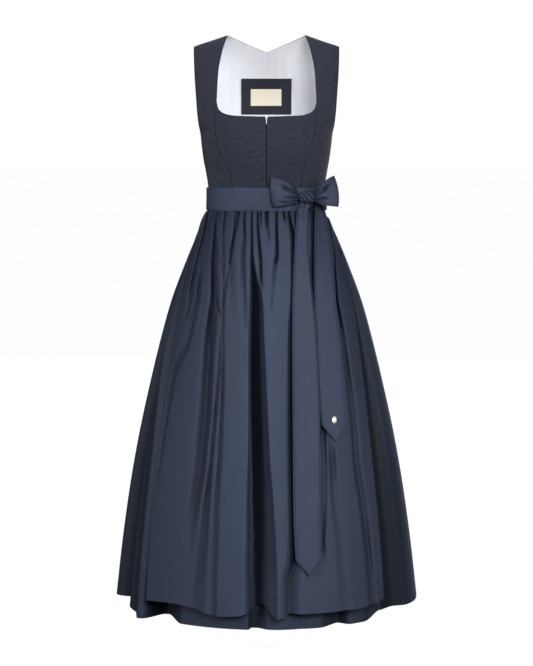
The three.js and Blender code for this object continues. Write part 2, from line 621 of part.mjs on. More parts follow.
// Outer face of a tail over the apron's outline; above the waistband's lower edge it hangs straight.
function onTail(which, x, z) {
  const zz = Math.min(z, BAND_LOW_Z),
    off = apronOff(zz) + tailOff[which](z) + T_RIBBON,
    p = oval(SKIRT_RING, skirtAngle(x, zz, off), zz, off);
  return [x, p[1], z];
}
function tailOut(which, x, z) {
  const u = add(onTail(which, x + 0.5, z), onTail(which, x - 0.5, z), -1),
    v = add(onTail(which, x, z + 0.5), onTail(which, x, z - 0.5), -1);
  const n = unit(cross(u, v));
  return n[1] > 0 ? n.map((k) => -k) : n;
}
function tail(table, which) {
  const across = 3,
    shoulders = table.length - 2; // the rows above the point
  const leftX = column(table.slice(0, -1), 1),
    rightX = column(table.slice(0, -1), 2),
    top = table[0][0],
    low = table[shoulders][0];
  const rows = Array.from({ length: TAIL_ROWS + 1 }, (_, k) => top + (low - top) * (k / TAIL_ROWS) ** 1.6).map((z) => [z, leftX(z), rightX(z)]);
  rows.push(table[table.length - 1]);
  return wall(across, rows.length - 1, T_RIBBON, (i, j) => {
    const [z, x0, x1] = rows[j],
      x = x0 + ((x1 - x0) * i) / across;
    return { p: onTail(which, x, z), n: tailOut(which, x, z) };
  });
}
function loop({ from, to, top, low, tilt, bulge, flat }) {
  const nt = 14,
    nv = 4,
    dir = unit([to[0] - from[0], to[1] - from[1], 0]),
    long = Math.hypot(to[0] - from[0], to[1] - from[1]),
    sideways = dir[0] < 0 ? [dir[1], -dir[0], 0] : [-dir[1], dir[0], 0];
  const front = sideways[1] < 0 ? sideways : sideways.map((k) => -k);
  const crease = [0, 1.6, -1.2, 1.4, 0];
  const point = (i, j) => {
    const t = (Math.PI * i) / nt,
      a = Math.sin(t) ** 0.9,
      v = j / nv;
    const reach = long + tilt[0] * (1 - v) * a + tilt[1] * 4 * v * (1 - v) * a;
    let b = Math.cos(t) * (2.7 + bulge * a);
    if (b < 0) b *= flat + (1 - flat) * (1 - a);
    if (i < nt / 2) b += crease[j] * Math.sin(Math.PI * a) * (1 - a) * 1.6;
    const grow = a ** 0.75,
      z = (low[0] + (low[1] - low[0]) * grow) * (1 - v) + (top[0] + (top[1] - top[0]) * grow) * v;
    return [from[0] + dir[0] * reach * a + front[0] * b, from[1] + dir[1] * reach * a + front[1] * b, z];
  };
  return wall(nt, nv, T_RIBBON, (i, j) => {
    const p = point(i, j);
    const u = add(point(Math.min(nt, i + 1), j), point(Math.max(0, i - 1), j), -1);
    const v = add(point(i, Math.min(nv, j + 1)), point(i, Math.max(0, j - 1)), -1);
    let n = unit(cross(u, v));
    const mid = [from[0] + dir[0] * long * 0.55, from[1] + dir[1] * long * 0.55, p[2]];
    const out = add(p, mid, -1);
    if (n[0] * out[0] + n[1] * out[1] + n[2] * out[2] < 0) n = n.map((k) => -k);
    return { p, n };
  });
}
function knot() {
  const g = new THREE.SphereGeometry(1, 14, 8);
  g.deleteAttribute("normal");
  g.deleteAttribute("uv");
  const q = g.attributes.position,
    soft = (v, e) => Math.sign(v) * Math.abs(v) ** e;
  for (let i = 0; i < q.count; i++) {
    const [x, y, z] = [q.getX(i), q.getY(i), q.getZ(i)];
    q.setXYZ(i, KNOT.halfX * soft(x, 0.75), KNOT.halfY * soft(y, 0.9), KNOT.halfZ * soft(z, 0.85));
  }
  return mergeVertices(g, 1e-4);
}
function stud() {
  const profile = [
    [0, 0],
    [1, 0],
    [1, 0.35],
    [0.86, 0.72],
    [0.5, 0.95],
    [0, 1],
  ].map(([r, h]) => new THREE.Vector2(r, h * STUD.high));
  const g = new THREE.LatheGeometry(profile, 20);
  g.scale(STUD.halfWide, 1, STUD.halfTall);
  return g;
}

// ------------------------------------------------------------------ cloths and pieces
const material = (color, roughness, metalness = 0) => new THREE.MeshStandardMaterial({ color, roughness, metalness });
const bodiceCloth = () => material(0x2b2f3a, 0.92),
  liningCloth = () => material(0xe6eaf2, 0.85),
  skirtCloth = () => material(0x27333f, 0.6),
  apronCloth = () => material(0x3b4257, 0.5);

const dirndl = new THREE.Group();
function piece(name, geometry, cloth) {
  const mesh = new THREE.Mesh(geometry, cloth);
  mesh.name = name;
  dirndl.add(mesh);
  return mesh;
}

piece("bodice_center_front_left", panel(-1, centreFront(1), 0, T_BODICE), bodiceCloth());
piece("bodice_center_front_right", panel(-1, centreFront(-1), 0, T_BODICE), bodiceCloth());
piece("bodice_side_front_left", panel(-1, sideFront(1), 0, T_BODICE), bodiceCloth());
piece("bodice_side_front_right", panel(-1, sideFront(-1), 0, T_BODICE), bodiceCloth());
piece("bodice_side_back_left", panel(1, sideBack(1), 0, T_BODICE), bodiceCloth());
piece("bodice_side_back_right", panel(1, sideBack(-1), 0, T_BODICE), bodiceCloth());
piece("bodice_center_back", panel(1, centreBack(0), 0, T_BODICE), bodiceCloth());
piece("lining_center_back", panel(1, centreBack(1.5), T_BODICE + LOOSE, T_LINING), liningCloth());
piece("lining_side_back_left", panel(1, sideBack(1), T_BODICE + LOOSE, T_LINING), liningCloth());
piece("lining_side_back_right", panel(1, sideBack(-1), T_BODICE + LOOSE, T_LINING), liningCloth());
piece("zip_tape", panel(-1, patchOn(-8, 8, -200, WAIST_Z, 2, 8), T_BODICE + 4 * SEAM, T_ZIP), material(0x1d2028, 0.7));
const onLining = T_BODICE + LOOSE + T_LINING + 4 * SEAM;
piece("label_patch", panel(1, patchOn(-59, 58.5, -92, -174, 5, 3), onLining, T_PATCH), material(0x20232d, 0.8));
piece("label", panel(1, patchOn(-37, 35, -115.5, -154, 3, 2), onLining + T_PATCH + 2 * SEAM, T_LABEL), material(0xe9dfc8, 0.6));

piece("skirt_front", skirtPanel("side_right", "side_left", true), skirtCloth());
piece("skirt_side_left", skirtPanel("side_left", "back_a"), skirtCloth());
piece("skirt_back", skirtPanel("back_a", "right_d"), skirtCloth());
piece("skirt_side_right", skirtPanel("right_d", "side_right"), skirtCloth());
piece("apron_panel", apronPanel(), apronCloth());
piece("apron_waistband", bandPiece(-97, KNOT_ANGLE, 18), apronCloth());
piece("apron_tie_round", bandPiece(KNOT_ANGLE + 0.2, 263 - 0.15, 26), apronCloth());

for (const [name, row] of Object.entries(LOOPS)) piece(name, loop(row), apronCloth());
piece("bow_knot", knot(), apronCloth()).position.set(KNOT.x, KNOT.y, KNOT.z);
piece("bow_tail_long", tail(TAIL_LONG, 1), apronCloth());
piece("bow_tail_short", tail(TAIL_SHORT, 0), apronCloth());

{
  const n = tailOut(0, STUD.x, STUD.z),
    p = add(onTail(0, STUD.x, STUD.z), n, SEAM);
  const mesh = piece("stud", stud(), material(0xe8d9b4, 0.22, 1));
  // The dome's axis points out of the ribbon, the long axis of the oval stays upright.
  const y = new THREE.Vector3(...n),
    x = new THREE.Vector3(-n[1], n[0], 0).normalize(),
    z = new THREE.Vector3().crossVectors(x, y);
  mesh.quaternion.setFromRotationMatrix(new THREE.Matrix4().makeBasis(x, y, z));
  mesh.position.set(...p);
}

export default dirndl;
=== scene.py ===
# Looks of the dirndl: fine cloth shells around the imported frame, procedural fabrics, floor, lights, camera.
# Shapes are worked out in millimetres in the row frame (+Z up, front faces -Y, +X is the wearer's left)
# and turned into metres when a mesh is made.
import math

import bpy
import numpy as np
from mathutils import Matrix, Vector


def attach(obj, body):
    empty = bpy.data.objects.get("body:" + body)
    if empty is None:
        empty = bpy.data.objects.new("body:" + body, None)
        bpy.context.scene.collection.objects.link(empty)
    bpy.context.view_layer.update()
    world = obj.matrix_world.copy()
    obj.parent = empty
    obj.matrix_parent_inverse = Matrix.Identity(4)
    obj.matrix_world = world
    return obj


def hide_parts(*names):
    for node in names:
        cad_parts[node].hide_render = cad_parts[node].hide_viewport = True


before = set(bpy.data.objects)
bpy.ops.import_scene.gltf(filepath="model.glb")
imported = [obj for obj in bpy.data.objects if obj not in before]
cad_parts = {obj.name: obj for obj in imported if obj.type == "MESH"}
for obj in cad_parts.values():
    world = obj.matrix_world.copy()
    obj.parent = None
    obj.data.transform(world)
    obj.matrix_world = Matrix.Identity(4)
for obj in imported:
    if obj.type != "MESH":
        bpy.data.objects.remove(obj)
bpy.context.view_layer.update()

RES = 1.0  # mesh density


def count(n, least=4):
    return max(least, int(round(n * RES)))


# ------------------------------------------------------------------ driving dimensions, as in the solids
SEAM = 0.3
T_BODICE, T_LINING, T_PATCH, T_LABEL, T_ZIP = 1.8, 1.0, 1.2, 1.0, 1.0
T_SKIRT, T_APRON, T_BAND, T_RIBBON = 1.4, 1.2, 2.2, 1.6
LOOSE = 1.3
NECK_HALF, SHOULDER_SLOPE, BACK_NECK_Z = 88.4, 0.342, -35.3
WAIST_Z, BAND_TOP_Z, BAND_LOW_Z, HEM_Z = -366.0, -338.0, -393.0, -1285.0
ZIP_GAP = 0.8
KNOT_ANGLE = 44.0
KNOT = dict(x=88.0, y=-102.0, z=-361.0, hx=18.4, hy=8.0, hz=12.0)
STUD = dict(x=147.0, z=-840.0, wide=5.5, tall=7.5, high=2.6)
FLOOR_Z = -1.42

TORSO = [(40, 188, 2.4), (0, 187, 2.4), (-60, 185, 2.4), (-110, 182, 2.4), (-150, 178, 2.4), (-184, 169.5, 2.4),
         (-205, 157.5, 2.4), (-215, 150.9, 2.4), (-248, 146.9, 2.38), (-280, 142.9, 2.35), (-302, 139, 2.3),
         (-338, 133.6, 2.25), (-366, 131.5, 2.2)]
TORSO_DEPTH = [(0, 0, 0), (-4, 13, 12), (-12, 24, 22), (-26, 38, 34), (-50, 55, 50), (-80, 71, 64), (-115, 87, 76),
               (-150, 101, 85), (-184, 113, 90), (-215, 121, 93), (-240, 124, 94), (-265, 121, 93),
               (-290, 113.5, 90), (-315, 105, 87), (-338, 98.5, 85), (-366, 95, 84)]
SKIRT = [(-366, 131.5, 95, 84, 2.2), (-393, 133.5, 97.5, 86, 2.2), (-416, 144.5, 112, 98, 2.15),
         (-461, 164.5, 136, 122, 2.1), (-530, 192.5, 163, 150, 2.08), (-599, 218, 183, 172, 2.05),
         (-691, 244, 205, 196, 2.02), (-784, 267, 225, 217, 2.0), (-900, 293, 248, 240, 2.0),
         (-1019, 315, 268, 262, 2.0), (-1161, 335.7, 287, 282, 2.0), (-1300, 352, 303.5, 299, 2.0)]
APRON_OFF = [(-393, 3.4), (-416, 5.5), (-461, 8), (-600, 12), (-850, 18), (-1100, 26), (-1300, 31)]
BAND = [(-338, 136.9, 102.4, 88.8, 2.25), (-366, 136.9, 102.2, 89.5, 2.22), (-393, 137.5, 102.2, 90.6, 2.2)]
NECK = [(88.4, 0), (93.8, -16), (98.9, -35.5), (103.6, -58), (107.3, -80), (109.4, -113), (111, -150)]
NECK_CORNER = [(36, -183.6), (72, -182.2), (95, -176.5), (106.7, -166), (111, -150)]
ARM_FRONT = [(164, -26), (163.6, -42), (162.9, -60), (161.9, -82), (160.3, -107), (158.2, -135), (156.2, -163),
             (154.2, -187), (152.4, -203.5), (151.2, -212.5), (150.9, -215)]
PRINCESS = [(-150, 111, -111), (-178, 110.5, -113.5), (-200, 109, -113.5), (-218, 105.5, -113),
            (-238, 100.5, -110.5), (-256, 95, -107), (-272, 90, -99), (-288, 85.5, -91), (-306, 81.5, -82),
            (-324, 78, -77.5), (-345, 74, -75), (-366, 71, -73)]
BACK_SEAM = [(158, -138), (146, -158), (131, -180), (114, -206), (98, -234), (83, -266), (70, -300), (60, -333),
             (54, -366)]

LEVELS = [-393, -470, -580, -740, -950, -1285]
# Folds of the apron, each followed from the band down. rows: z, degrees from the centre front, depth in mm, width
# of the left and the right side in mm. sharp: 0 a round valley, 1 a keen one. over: how far the crest on the
# left (+) or right (-) rolls over the valley, in mm.
APRON_FOLDS = [
    dict(name="hip", sharp=0.5, over=2, rows=[(-386, -78.6, 10, 4, 5), (-414, -68, 14, 5, 7), (-446, -62.5, 15, 6, 10), (-479, -59.7, 13, 7, 10), (-522, -57.3, 10, 7, 12), (-587, -53, 5, 9, 14), (-642, -51.7, 0, 10, 16)]),
    dict(name="hip_b", sharp=0.3, over=0, rows=[(-489, -54.7, 0, 5, 8), (-521, -50, 4, 5, 8), (-586, -45.6, 7, 8, 14), (-673, -46.2, 7, 14, 14), (-762, -52, 8, 12, 10), (-849, -51.7, 6, 10, 9), (-935, -51.3, 3, 8, 8), (-1022, -50.9, 0, 8, 8)]),
    dict(name="second", sharp=0.6, over=5, rows=[(-386, -57.3, 13, 3.5, 5, 5), (-413, -52.4, 19, 4, 8, 5), (-445, -47.7, 21, 4.5, 13, 5), (-477, -44.3, 22, 4.5, 20, 5), (-520, -39.9, 20, 4.5, 22, 5), (-552, -36.8, 17, 6, 24, 5), (-584, -33.7, 14, 8, 22, 2), (-627, -32.1, 15, 14, 20, 0), (-670, -31.1, 17, 22, 18, 0), (-755, -29.5, 18, 26, 16, 0), (-840, -28.4, 18, 28, 16, 0), (-924, -28.3, 16, 28, 16, 0), (-1009, -29.5, 12, 22, 18, 0), (-1095, -30.8, 5, 20, 24, 0), (-1170, -31.9, 0, 24, 30, 0)]),
    dict(name="pinch", sharp=0.6, over=0, rows=[(-575, -32.8, 0, 3, 8), (-588, -30.7, 6, 3, 9), (-601, -28.7, 7, 4, 8), (-615, -26.8, 3, 5, 8), (-630, -25.3, 0, 6, 8)]),
    dict(name="pinch_b", sharp=0.5, over=0, rows=[(-477, -41, 0, 4, 8), (-490, -37.6, 4, 4, 9), (-500, -33, 4, 4, 8), (-511, -29.3, 0, 4, 8)]),
    dict(name="third", sharp=0.5, over=0, rows=[(-630, -24.7, 0, 6, 6), (-668, -24.4, 4.5, 7, 5), (-753, -23.5, 5.5, 8, 5), (-838, -23.5, 6, 8, 6), (-923, -23.5, 6, 8, 6), (-1007, -23.9, 9, 14, 8), (-1092, -24.6, 9, 20, 14), (-1177, -25.5, 9, 20, 20), (-1231, -26.2, 8, 20, 24)]),
    dict(name="c3edge", sharp=0.6, over=0, rows=[(-583, -25.5, 4, 6, 5), (-668, -23.3, 4, 5, 6), (-753, -21.4, 5, 5, 7), (-837, -20.5, 5.5, 7, 8), (-922, -19.9, 6, 8, 9), (-1006, -20.1, 6, 10, 10), (-1090, -19.7, 6, 14, 10), (-1175, -19.5, 6, 16, 10), (-1227, -19.3, 6, 16, 10)]),
    dict(name="gath_a", sharp=0.6, over=1, rows=[(-386, -42, 8, 3.5, 4), (-412, -39.4, 7, 4, 5), (-444, -36.2, 3.5, 5, 5), (-476, -32.9, 4, 5, 5), (-519, -29.1, 4, 5, 5), (-562, -26.4, 3, 6, 5), (-594, -25, 0, 6, 5)]),
    dict(name="gath_b", sharp=0.6, over=1, rows=[(-386, -50.2, 5, 2.5, 3), (-404, -48.2, 4, 3, 3), (-421, -44.5, 0, 3, 3)]),
    dict(name="fifth", sharp=0.6, over=4, rows=[(-386, -29.5, 13, 3, 5), (-412, -28.5, 18, 3.5, 6), (-444, -27.1, 17, 4, 9), (-463, -27, 9, 4, 10), (-476, -26.7, 5, 4, 12), (-519, -24.1, 4, 4, 14), (-578, -21.1, 2, 5, 16), (-615, -19.7, 1, 6, 18), (-646, -19, 0, 6, 18)]),
    dict(name="small_h", sharp=0.6, over=0, rows=[(-386, -24.6, 9, 3, 3), (-409, -25, 7, 3, 4), (-424, -24.2, 5, 3, 4), (-437, -23.5, 0, 4, 4)]),
    dict(name="small_i", sharp=0.6, over=0, rows=[(-386, -19.2, 7, 4, 3), (-413, -18.4, 6, 4.5, 4.5), (-443, -16.4, 6, 7, 4), (-476, -15.9, 7, 11, 5), (-518, -14.4, 7, 13, 5), (-571, -12.6, 4, 16, 5), (-614, -11.5, 3, 16, 5), (-646, -11, 0, 16, 5)]),
    dict(name="deepest", sharp=0.8, over=3.5, wall=1.25, rows=[(-386, -12.7, 15, 3, 4), (-413, -12.3, 20, 3.2, 4), (-443, -11.5, 19, 3.2, 4.5), (-475, -10.7, 20, 3.5, 5), (-501, -10, 24, 4, 7), (-529, -9.3, 30, 4.5, 12), (-578, -8.6, 42, 5, 24), (-667, -8.2, 48, 5, 30), (-751, -7.8, 52, 5, 35), (-835, -7, 54, 6, 38), (-919, -6.2, 54, 10, 40), (-1003, -5.5, 52, 16, 45), (-1087, -4.9, 50, 20, 48), (-1171, -4.5, 46, 24, 50), (-1223, -4.3, 42, 24, 50)]),
    dict(name="small_m", sharp=0.6, over=3, rows=[(-386, -7.5, 13, 3, 4), (-413, -7.1, 20, 3, 4.5), (-443, -6.2, 19, 3.5, 5), (-475, -5, 19, 4, 6), (-501, -4, 14, 4, 6), (-522, -3.6, 9, 4, 6), (-548, -2.9, 4, 6, 6), (-573, -2.4, 0, 8, 6)]),
    dict(name="small_n", sharp=0.6, over=0, rows=[(-386, -4.5, 6, 2.5, 3), (-413, -4, 3, 2.5, 3), (-430, -3.9, 0, 3, 3)]),
    dict(name="small_o", sharp=0.6, over=1, rows=[(-386, -0.2, 12, 3.5, 6), (-411, -0.1, 9, 4, 6), (-428, 0.6, 4, 5, 6), (-445, 1.5, 2.5, 4, 5), (-462, 1.6, 0, 4, 5)]),
    dict(name="small_p", sharp=0.6, over=2, rows=[(-386, 7.7, 14, 3.5, 4), (-415, 7.5, 20, 3.5, 4), (-443, 7, 20, 4, 5), (-475, 7, 20, 5.5, 5), (-492, 6.4, 12, 7, 6), (-509, 5.2, 4.5, 7, 7), (-526, 4.4, 3.6, 7, 7), (-560, 3.4, 2, 7, 7), (-586, 2.6, 2.2, 5, 5), (-614, 2.6, 0, 5, 5)]),
    dict(name="small_q", sharp=0.5, over=0, rows=[(-386, 14.2, 7, 4, 5), (-403, 14.7, 7, 4, 5), (-413, 15, 2, 4, 5), (-424, 14.9, 0, 4, 5)]),
    dict(name="under_tail", sharp=0.5, over=2, rows=[(-386, 19.2, 14, 3.5, 5), (-409, 18.7, 17, 4, 8), (-444, 20, 20, 6, 9), (-476, 18.7, 22, 6, 10), (-518, 17.2, 20, 6, 12), (-578, 15.5, 20, 7, 14), (-642, 14.3, 18, 14, 16), (-731, 13.4, 20, 18, 18), (-857, 12, 20, 20, 20), (-962, 11.4, 20, 20, 22), (-1046, 11.3, 20, 20, 22), (-1119, 11, 17, 24, 24), (-1171, 8.7, 14, 22, 26), (-1224, 8.2, 11, 22, 26)]),
    dict(name="under_b", sharp=0.5, over=0, rows=[(-386, 27.8, 8, 4, 5), (-422, 26, 8, 5, 6), (-454, 25, 4, 6, 8), (-487, 23.7, 0, 7, 8)]),
    dict(name="under_c", sharp=0.5, over=0, rows=[(-386, 36.7, 8, 4, 5), (-423, 33.7, 8, 5, 6), (-455, 31.3, 4, 6, 8), (-487, 29.4, 0, 7, 8)]),
    dict(name="between", sharp=0.4, over=0, rows=[(-386, 50.2, 8, 5, 6), (-445, 40.1, 11, 8, 8), (-498, 34, 12, 10, 11), (-583, 28.5, 12, 12, 13), (-669, 26.8, 12, 13, 14), (-754, 26, 13, 14, 16), (-839, 25.2, 13, 16, 18), (-923, 24.7, 6, 14, 12), (-1007, 23.3, 4.5, 12, 12), (-1091, 21.5, 7, 10, 10), (-1143, 20.8, 3, 16, 16), (-1196, 20.1, 0, 22, 24)]),
    dict(name="v14", sharp=0.6, over=1, rows=[(-386, 81.6, 10, 4, 5), (-414, 69.1, 16, 4, 6), (-446, 63.9, 9, 5, 8), (-479, 59.7, 8, 6, 8), (-505, 54.8, 10, 5, 8), (-528, 51, 11, 4.5, 9), (-554, 48.4, 12, 4.5, 10), (-586, 44.9, 15, 4, 13), (-629, 44.1, 14, 5, 15), (-672, 43.8, 12, 7, 19), (-737, 43.2, 12, 7, 17), (-802, 42.7, 10, 9, 19), (-866, 41.7, 10, 10, 20), (-951, 40.6, 10, 12, 20), (-1016, 41.3, 10, 12, 22), (-1102, 41.9, 10, 14, 18), (-1188, 42.2, 7, 16, 16)]),
    dict(name="right_b", sharp=0.4, over=0, rows=[(-433, 83.1, 0, 3, 4), (-458, 71, 7, 3, 4), (-482, 67.9, 9, 3, 3), (-506, 65.5, 0, 3, 4)]),
    dict(name="right_mid", sharp=0.3, over=0, rows=[(-861, 28.4, 0, 12, 14), (-924, 28.6, 7, 12, 14), (-1009, 27.9, 4, 12, 16), (-1094, 29.1, 3, 16, 20), (-1201, 29.4, 2, 18, 24)]),
]
# The skirt's folds, read at LEVELS. at: degrees; deep: mm; left, right: width of the two sides in mm at the
# top, middle and hem.
SKIRT_FOLDS = [
    dict(name="side_right", at=[-88, -87, -83, -79, -77.5, -77], deep=[1, 3, 14, 32, 46, 56], left=[8, 28, 54], right=[10, 60, 128]),
    dict(name="beside_crest", at=[-45, -42, -40, -39, -38, -38], deep=[1, 3, 8, 20, 38, 56], left=[10, 40, 88], right=[10, 24, 36]),
    dict(name="strip_crest", at=[-86, -74.3, -67.4, -63.8, -57.7, -54.9], deep=[-1, -6, -14, -24, -32, -38], left=[5, 9, 11], right=[14, 58, 78], wall=1.0, sharp=0.2),
    dict(name="behind_strip", at=[-90, -83.5, -74.5, -70, -67.5, -66.5], deep=[1, 5, 12, 20, 28, 34], left=[8, 26, 50], right=[4, 12, 18], sharp=0.3),
    dict(name="behind_edge", at=[84, 77, 66, 60, 56, 54], deep=[1, 3, 6, 9, 12, 14], left=[10, 30, 44], right=[8, 44, 80], sharp=0.1),
    dict(name="third_under", at=[-37.3, -31.2, -25, -22.2, -21.1, -21.4], deep=[1, 3, 4, 4, 3, 0], left=[6, 16, 30], right=[6, 14, 26]),
    dict(name="deepest_under", at=[-12.7, -9.7, -6.9, -4.6, -4.1, -2.4], deep=[1, 14, 24, 29, 27, 5], left=[6, 15, 22], right=[7, 20, 40]),
    dict(name="tail_under", at=[18.2, 18, 15, 13, 12, 12], deep=[1, 6, 8, 7, 5, 2], left=[6, 16, 30], right=[6, 16, 26]),
    dict(name="step_left", at=[36, 33, 31, 29, 27, 26], deep=[1, 4, 8, 14, 20, 24], left=[8, 24, 42], right=[8, 22, 36]),
    dict(name="side_left", at=[79, 73, 65, 56, 50, 46], deep=[1, 4, 12, 30, 46, 58], left=[8, 26, 50], right=[10, 90, 180]),
    dict(name="left_b", at=[99, 99, 100, 101, 102, 102], deep=[2, 8, 16, 24, 30, 34], left=[8, 26, 42], right=[8, 24, 46]),
    dict(name="left_c", at=[113, 114, 115, 116, 118, 119], deep=[2, 10, 18, 28, 34, 30], left=[8, 22, 34], right=[8, 28, 46]),
    dict(name="left_d", at=[130, 131, 131, 132, 133, 133], deep=[2, 9, 20, 30, 38, 44], left=[8, 24, 40], right=[8, 22, 36]),
    dict(name="back_a", at=[147, 148, 148, 148, 148, 148], deep=[2, 12, 18, 26, 30, 32], left=[8, 22, 36], right=[8, 26, 44]),
    dict(name="back_b", at=[162, 163, 164, 164, 165, 165], deep=[2, 8, 20, 32, 40, 42], left=[8, 22, 36], right=[8, 24, 34]),
    dict(name="back_c", at=[177, 178, 179, 180, 181, 181], deep=[2, 10, 20, 26, 28, 26], left=[8, 26, 38], right=[8, 26, 42]),
    dict(name="back_d", at=[193, 194, 195, 196, 197, 198], deep=[2, 12, 22, 34, 42, 46], left=[8, 22, 34], right=[8, 22, 38]),
    dict(name="right_d", at=[211, 211, 212, 213, 213, 214], deep=[2, 8, 16, 24, 30, 34], left=[8, 22, 38], right=[8, 26, 40]),
    dict(name="right_c", at=[229, 229, 230, 230, 231, 231], deep=[2, 11, 20, 30, 38, 40], left=[8, 24, 38], right=[8, 24, 42]),
    dict(name="right_b", at=[248, 247, 247, 247, 247, 248], deep=[2, 9, 16, 24, 28, 30], left=[8, 24, 40], right=[8, 26, 38]),
]
SKIRT_GATHERS = [
    (86, 85, 2.6, 60, 5), (91, 90, 2.2, 36, 4), (95, 95, 3.0, 80, 5), (104, 104, 2.4, 44, 4.5), (108.5, 109, 3.2, 90, 5),
    (118, 118, 2.6, 50, 4.5), (123, 123.5, 3.0, 76, 5), (126.5, 127, 2.0, 34, 3.6), (135, 135.5, 2.8, 60, 4.6), (140, 141, 3.2, 96, 5),
    (143.6, 144, 2.0, 36, 3.6), (152, 152.5, 2.6, 50, 4.4), (156.5, 157, 3.2, 84, 5), (159, 160, 2.0, 30, 3.4), (167, 168, 2.6, 60, 4.4),
    (171.5, 172, 3.0, 90, 5), (174.4, 175, 2.0, 34, 3.4), (182, 183, 2.8, 64, 4.6), (186.5, 187.5, 3.2, 96, 5), (189.6, 190.6, 2.0, 32, 3.4),
    (198, 199, 2.6, 52, 4.4), (202.5, 203, 3.0, 80, 5), (206.5, 207, 2.2, 40, 4), (216, 216.5, 2.8, 60, 4.6), (221, 221.5, 3.0, 90, 5),
    (225, 225.5, 2.0, 36, 3.6), (234, 234.5, 2.6, 54, 4.6), (239, 239, 3.2, 84, 5), (243, 243, 2.2, 40, 4), (253, 252.5, 2.6, 56, 4.6),
    (258, 258, 3.0, 80, 5), (263, 263, 2.2, 44, 4.5), (268, 268, 2.6, 60, 5),
]
APRON_EDGE_RIGHT = [-84, -68.2, -61.4, -56.6, -52.9, -49.5]
APRON_EDGE_LEFT = [74.5, 69.6, 61.1, 55.7, 50.7, 48.1]
APRON_HEM = [(-50, -1239), (-46.3, -1237), (-36.7, -1234), (-29, -1237), (-22.9, -1246), (-17.5, -1251), (-9.8, -1248), (-6.9, -1241),
             (-4.3, -1234), (-1.6, -1230), (1.2, -1243), (3.4, -1254), (6.2, -1253), (8.4, -1244), (16.4, -1245), (22.5, -1245), (33.2, -1245),
             (43.2, -1241), (48.4, -1233)]
TAIL_LONG = [(-364, 76, 101), (-377, 71, 104), (-389, 66.5, 104.3), (-424, 63.5, 104), (-478, 60.5, 104.2), (-583, 56.2, 106), (-674, 55.2, 110.6),
             (-768, 55.7, 115.8), (-900, 56.5, 117.6), (-1041, 57.6, 118.5), (-1130, 62, 118.3), (-1165, 92.2, 92.8)]
TAIL_SHORT = [(-366, 102, 118), (-379, 103, 124.5), (-399, 103.5, 131.5), (-428, 103.3, 138.5), (-459, 103.5, 142.7), (-503, 103.8, 147.5),
              (-585, 105, 153.1), (-677, 108, 164.4), (-772, 112, 171.2), (-849, 119.5, 176.6), (-889, 152, 152.8)]
TAIL_OFF = [(-377, 6.2, 8.9), (-400, 3.6, 6.3), (-440, 1.4, 4.1), (-1300, 1.4, 4.1)]
LOOPS = {
    "bow_loop_right": dict(start=(69.0, -101), end=(9.5, -113), top=(-345, -314.5), low=(-373, -381), tilt=(-5, 3.5), bulge=11, flat=0.62),
    "bow_loop_left": dict(start=(107.0, -99), end=(150, -86), top=(-350, -313.5), low=(-372, -383), tilt=(10.5, 5.5), bulge=10, flat=0.62),
}


# ------------------------------------------------------------------ small mathematics
def curve(xs, ys):
    """Monotone cubic through the points; the value is held past the ends."""
    X, Y = np.asarray(xs, float), np.asarray(ys, float)
    if X[0] > X[-1]:
        X, Y = X[::-1], Y[::-1]
    h = np.diff(X)
    d = np.diff(Y) / h
    m = np.zeros_like(Y)
    m[0], m[-1] = d[0], d[-1]
    for i in range(1, len(X) - 1):
        if d[i - 1] * d[i] > 0:
            a, b = 2 * h[i] + h[i - 1], h[i] + 2 * h[i - 1]
            m[i] = (a + b) / (a / d[i - 1] + b / d[i])

    def f(x):
        q = np.clip(np.asarray(x, float), X[0], X[-1])
        i = np.clip(np.searchsorted(X, q, side="right") - 1, 0, len(X) - 2)
        t = (q - X[i]) / h[i]
        t2, t3 = t * t, t * t * t
        return (2 * t3 - 3 * t2 + 1) * Y[i] + (t3 - 2 * t2 + t) * h[i] * m[i] + (3 * t2 - 2 * t3) * Y[i + 1] + (t3 - t2) * h[i] * m[i + 1]

    return f


def column(table, k, key=0):
    return curve([r[key] for r in table], [r[k] for r in table])


def unit(v):
    v = np.asarray(v, float)
    return v / np.maximum(np.linalg.norm(v, axis=-1, keepdims=True), 1e-9)


def smooth(x, lo=0.0, hi=1.0):
    t = np.clip((np.asarray(x, float) - lo) / (hi - lo), 0, 1)
    return t * t * (3 - 2 * t)


def bell(x, w):
    return np.exp(-((np.asarray(x, float) / w) ** 2))


def power(v, p):
    return np.sign(v) * np.abs(v) ** p


# ------------------------------------------------------------------ meshes
def normals(P, hint=None):
    """Normal at each point of a grid; hint(P) gives a direction that they should agree with."""
    du = np.gradient(P, axis=0)
    dv = np.gradient(P, axis=1)
    n = unit(np.cross(du, dv))
    if hint is not None:
        flip = np.sign((n * hint(P)).sum(-1).mean())
        n = n * (flip if flip else 1)
    return n


def arc_uv(P, u_origin=0.5):
    """Cloth coordinates in metres: along each row and each column of the grid."""
    du = np.linalg.norm(np.diff(P, axis=0), axis=-1)
    dv = np.linalg.norm(np.diff(P, axis=1), axis=-1)
    u = np.vstack([np.zeros((1, P.shape[1])), np.cumsum(du, axis=0)])
    v = np.hstack([np.zeros((P.shape[0], 1)), np.cumsum(dv, axis=1)])
    u -= u[int((P.shape[0] - 1) * u_origin)][None, :]
    v = np.broadcast_to(v.mean(axis=0, keepdims=True), v.shape)
    return np.stack([u, v], -1) * 0.001


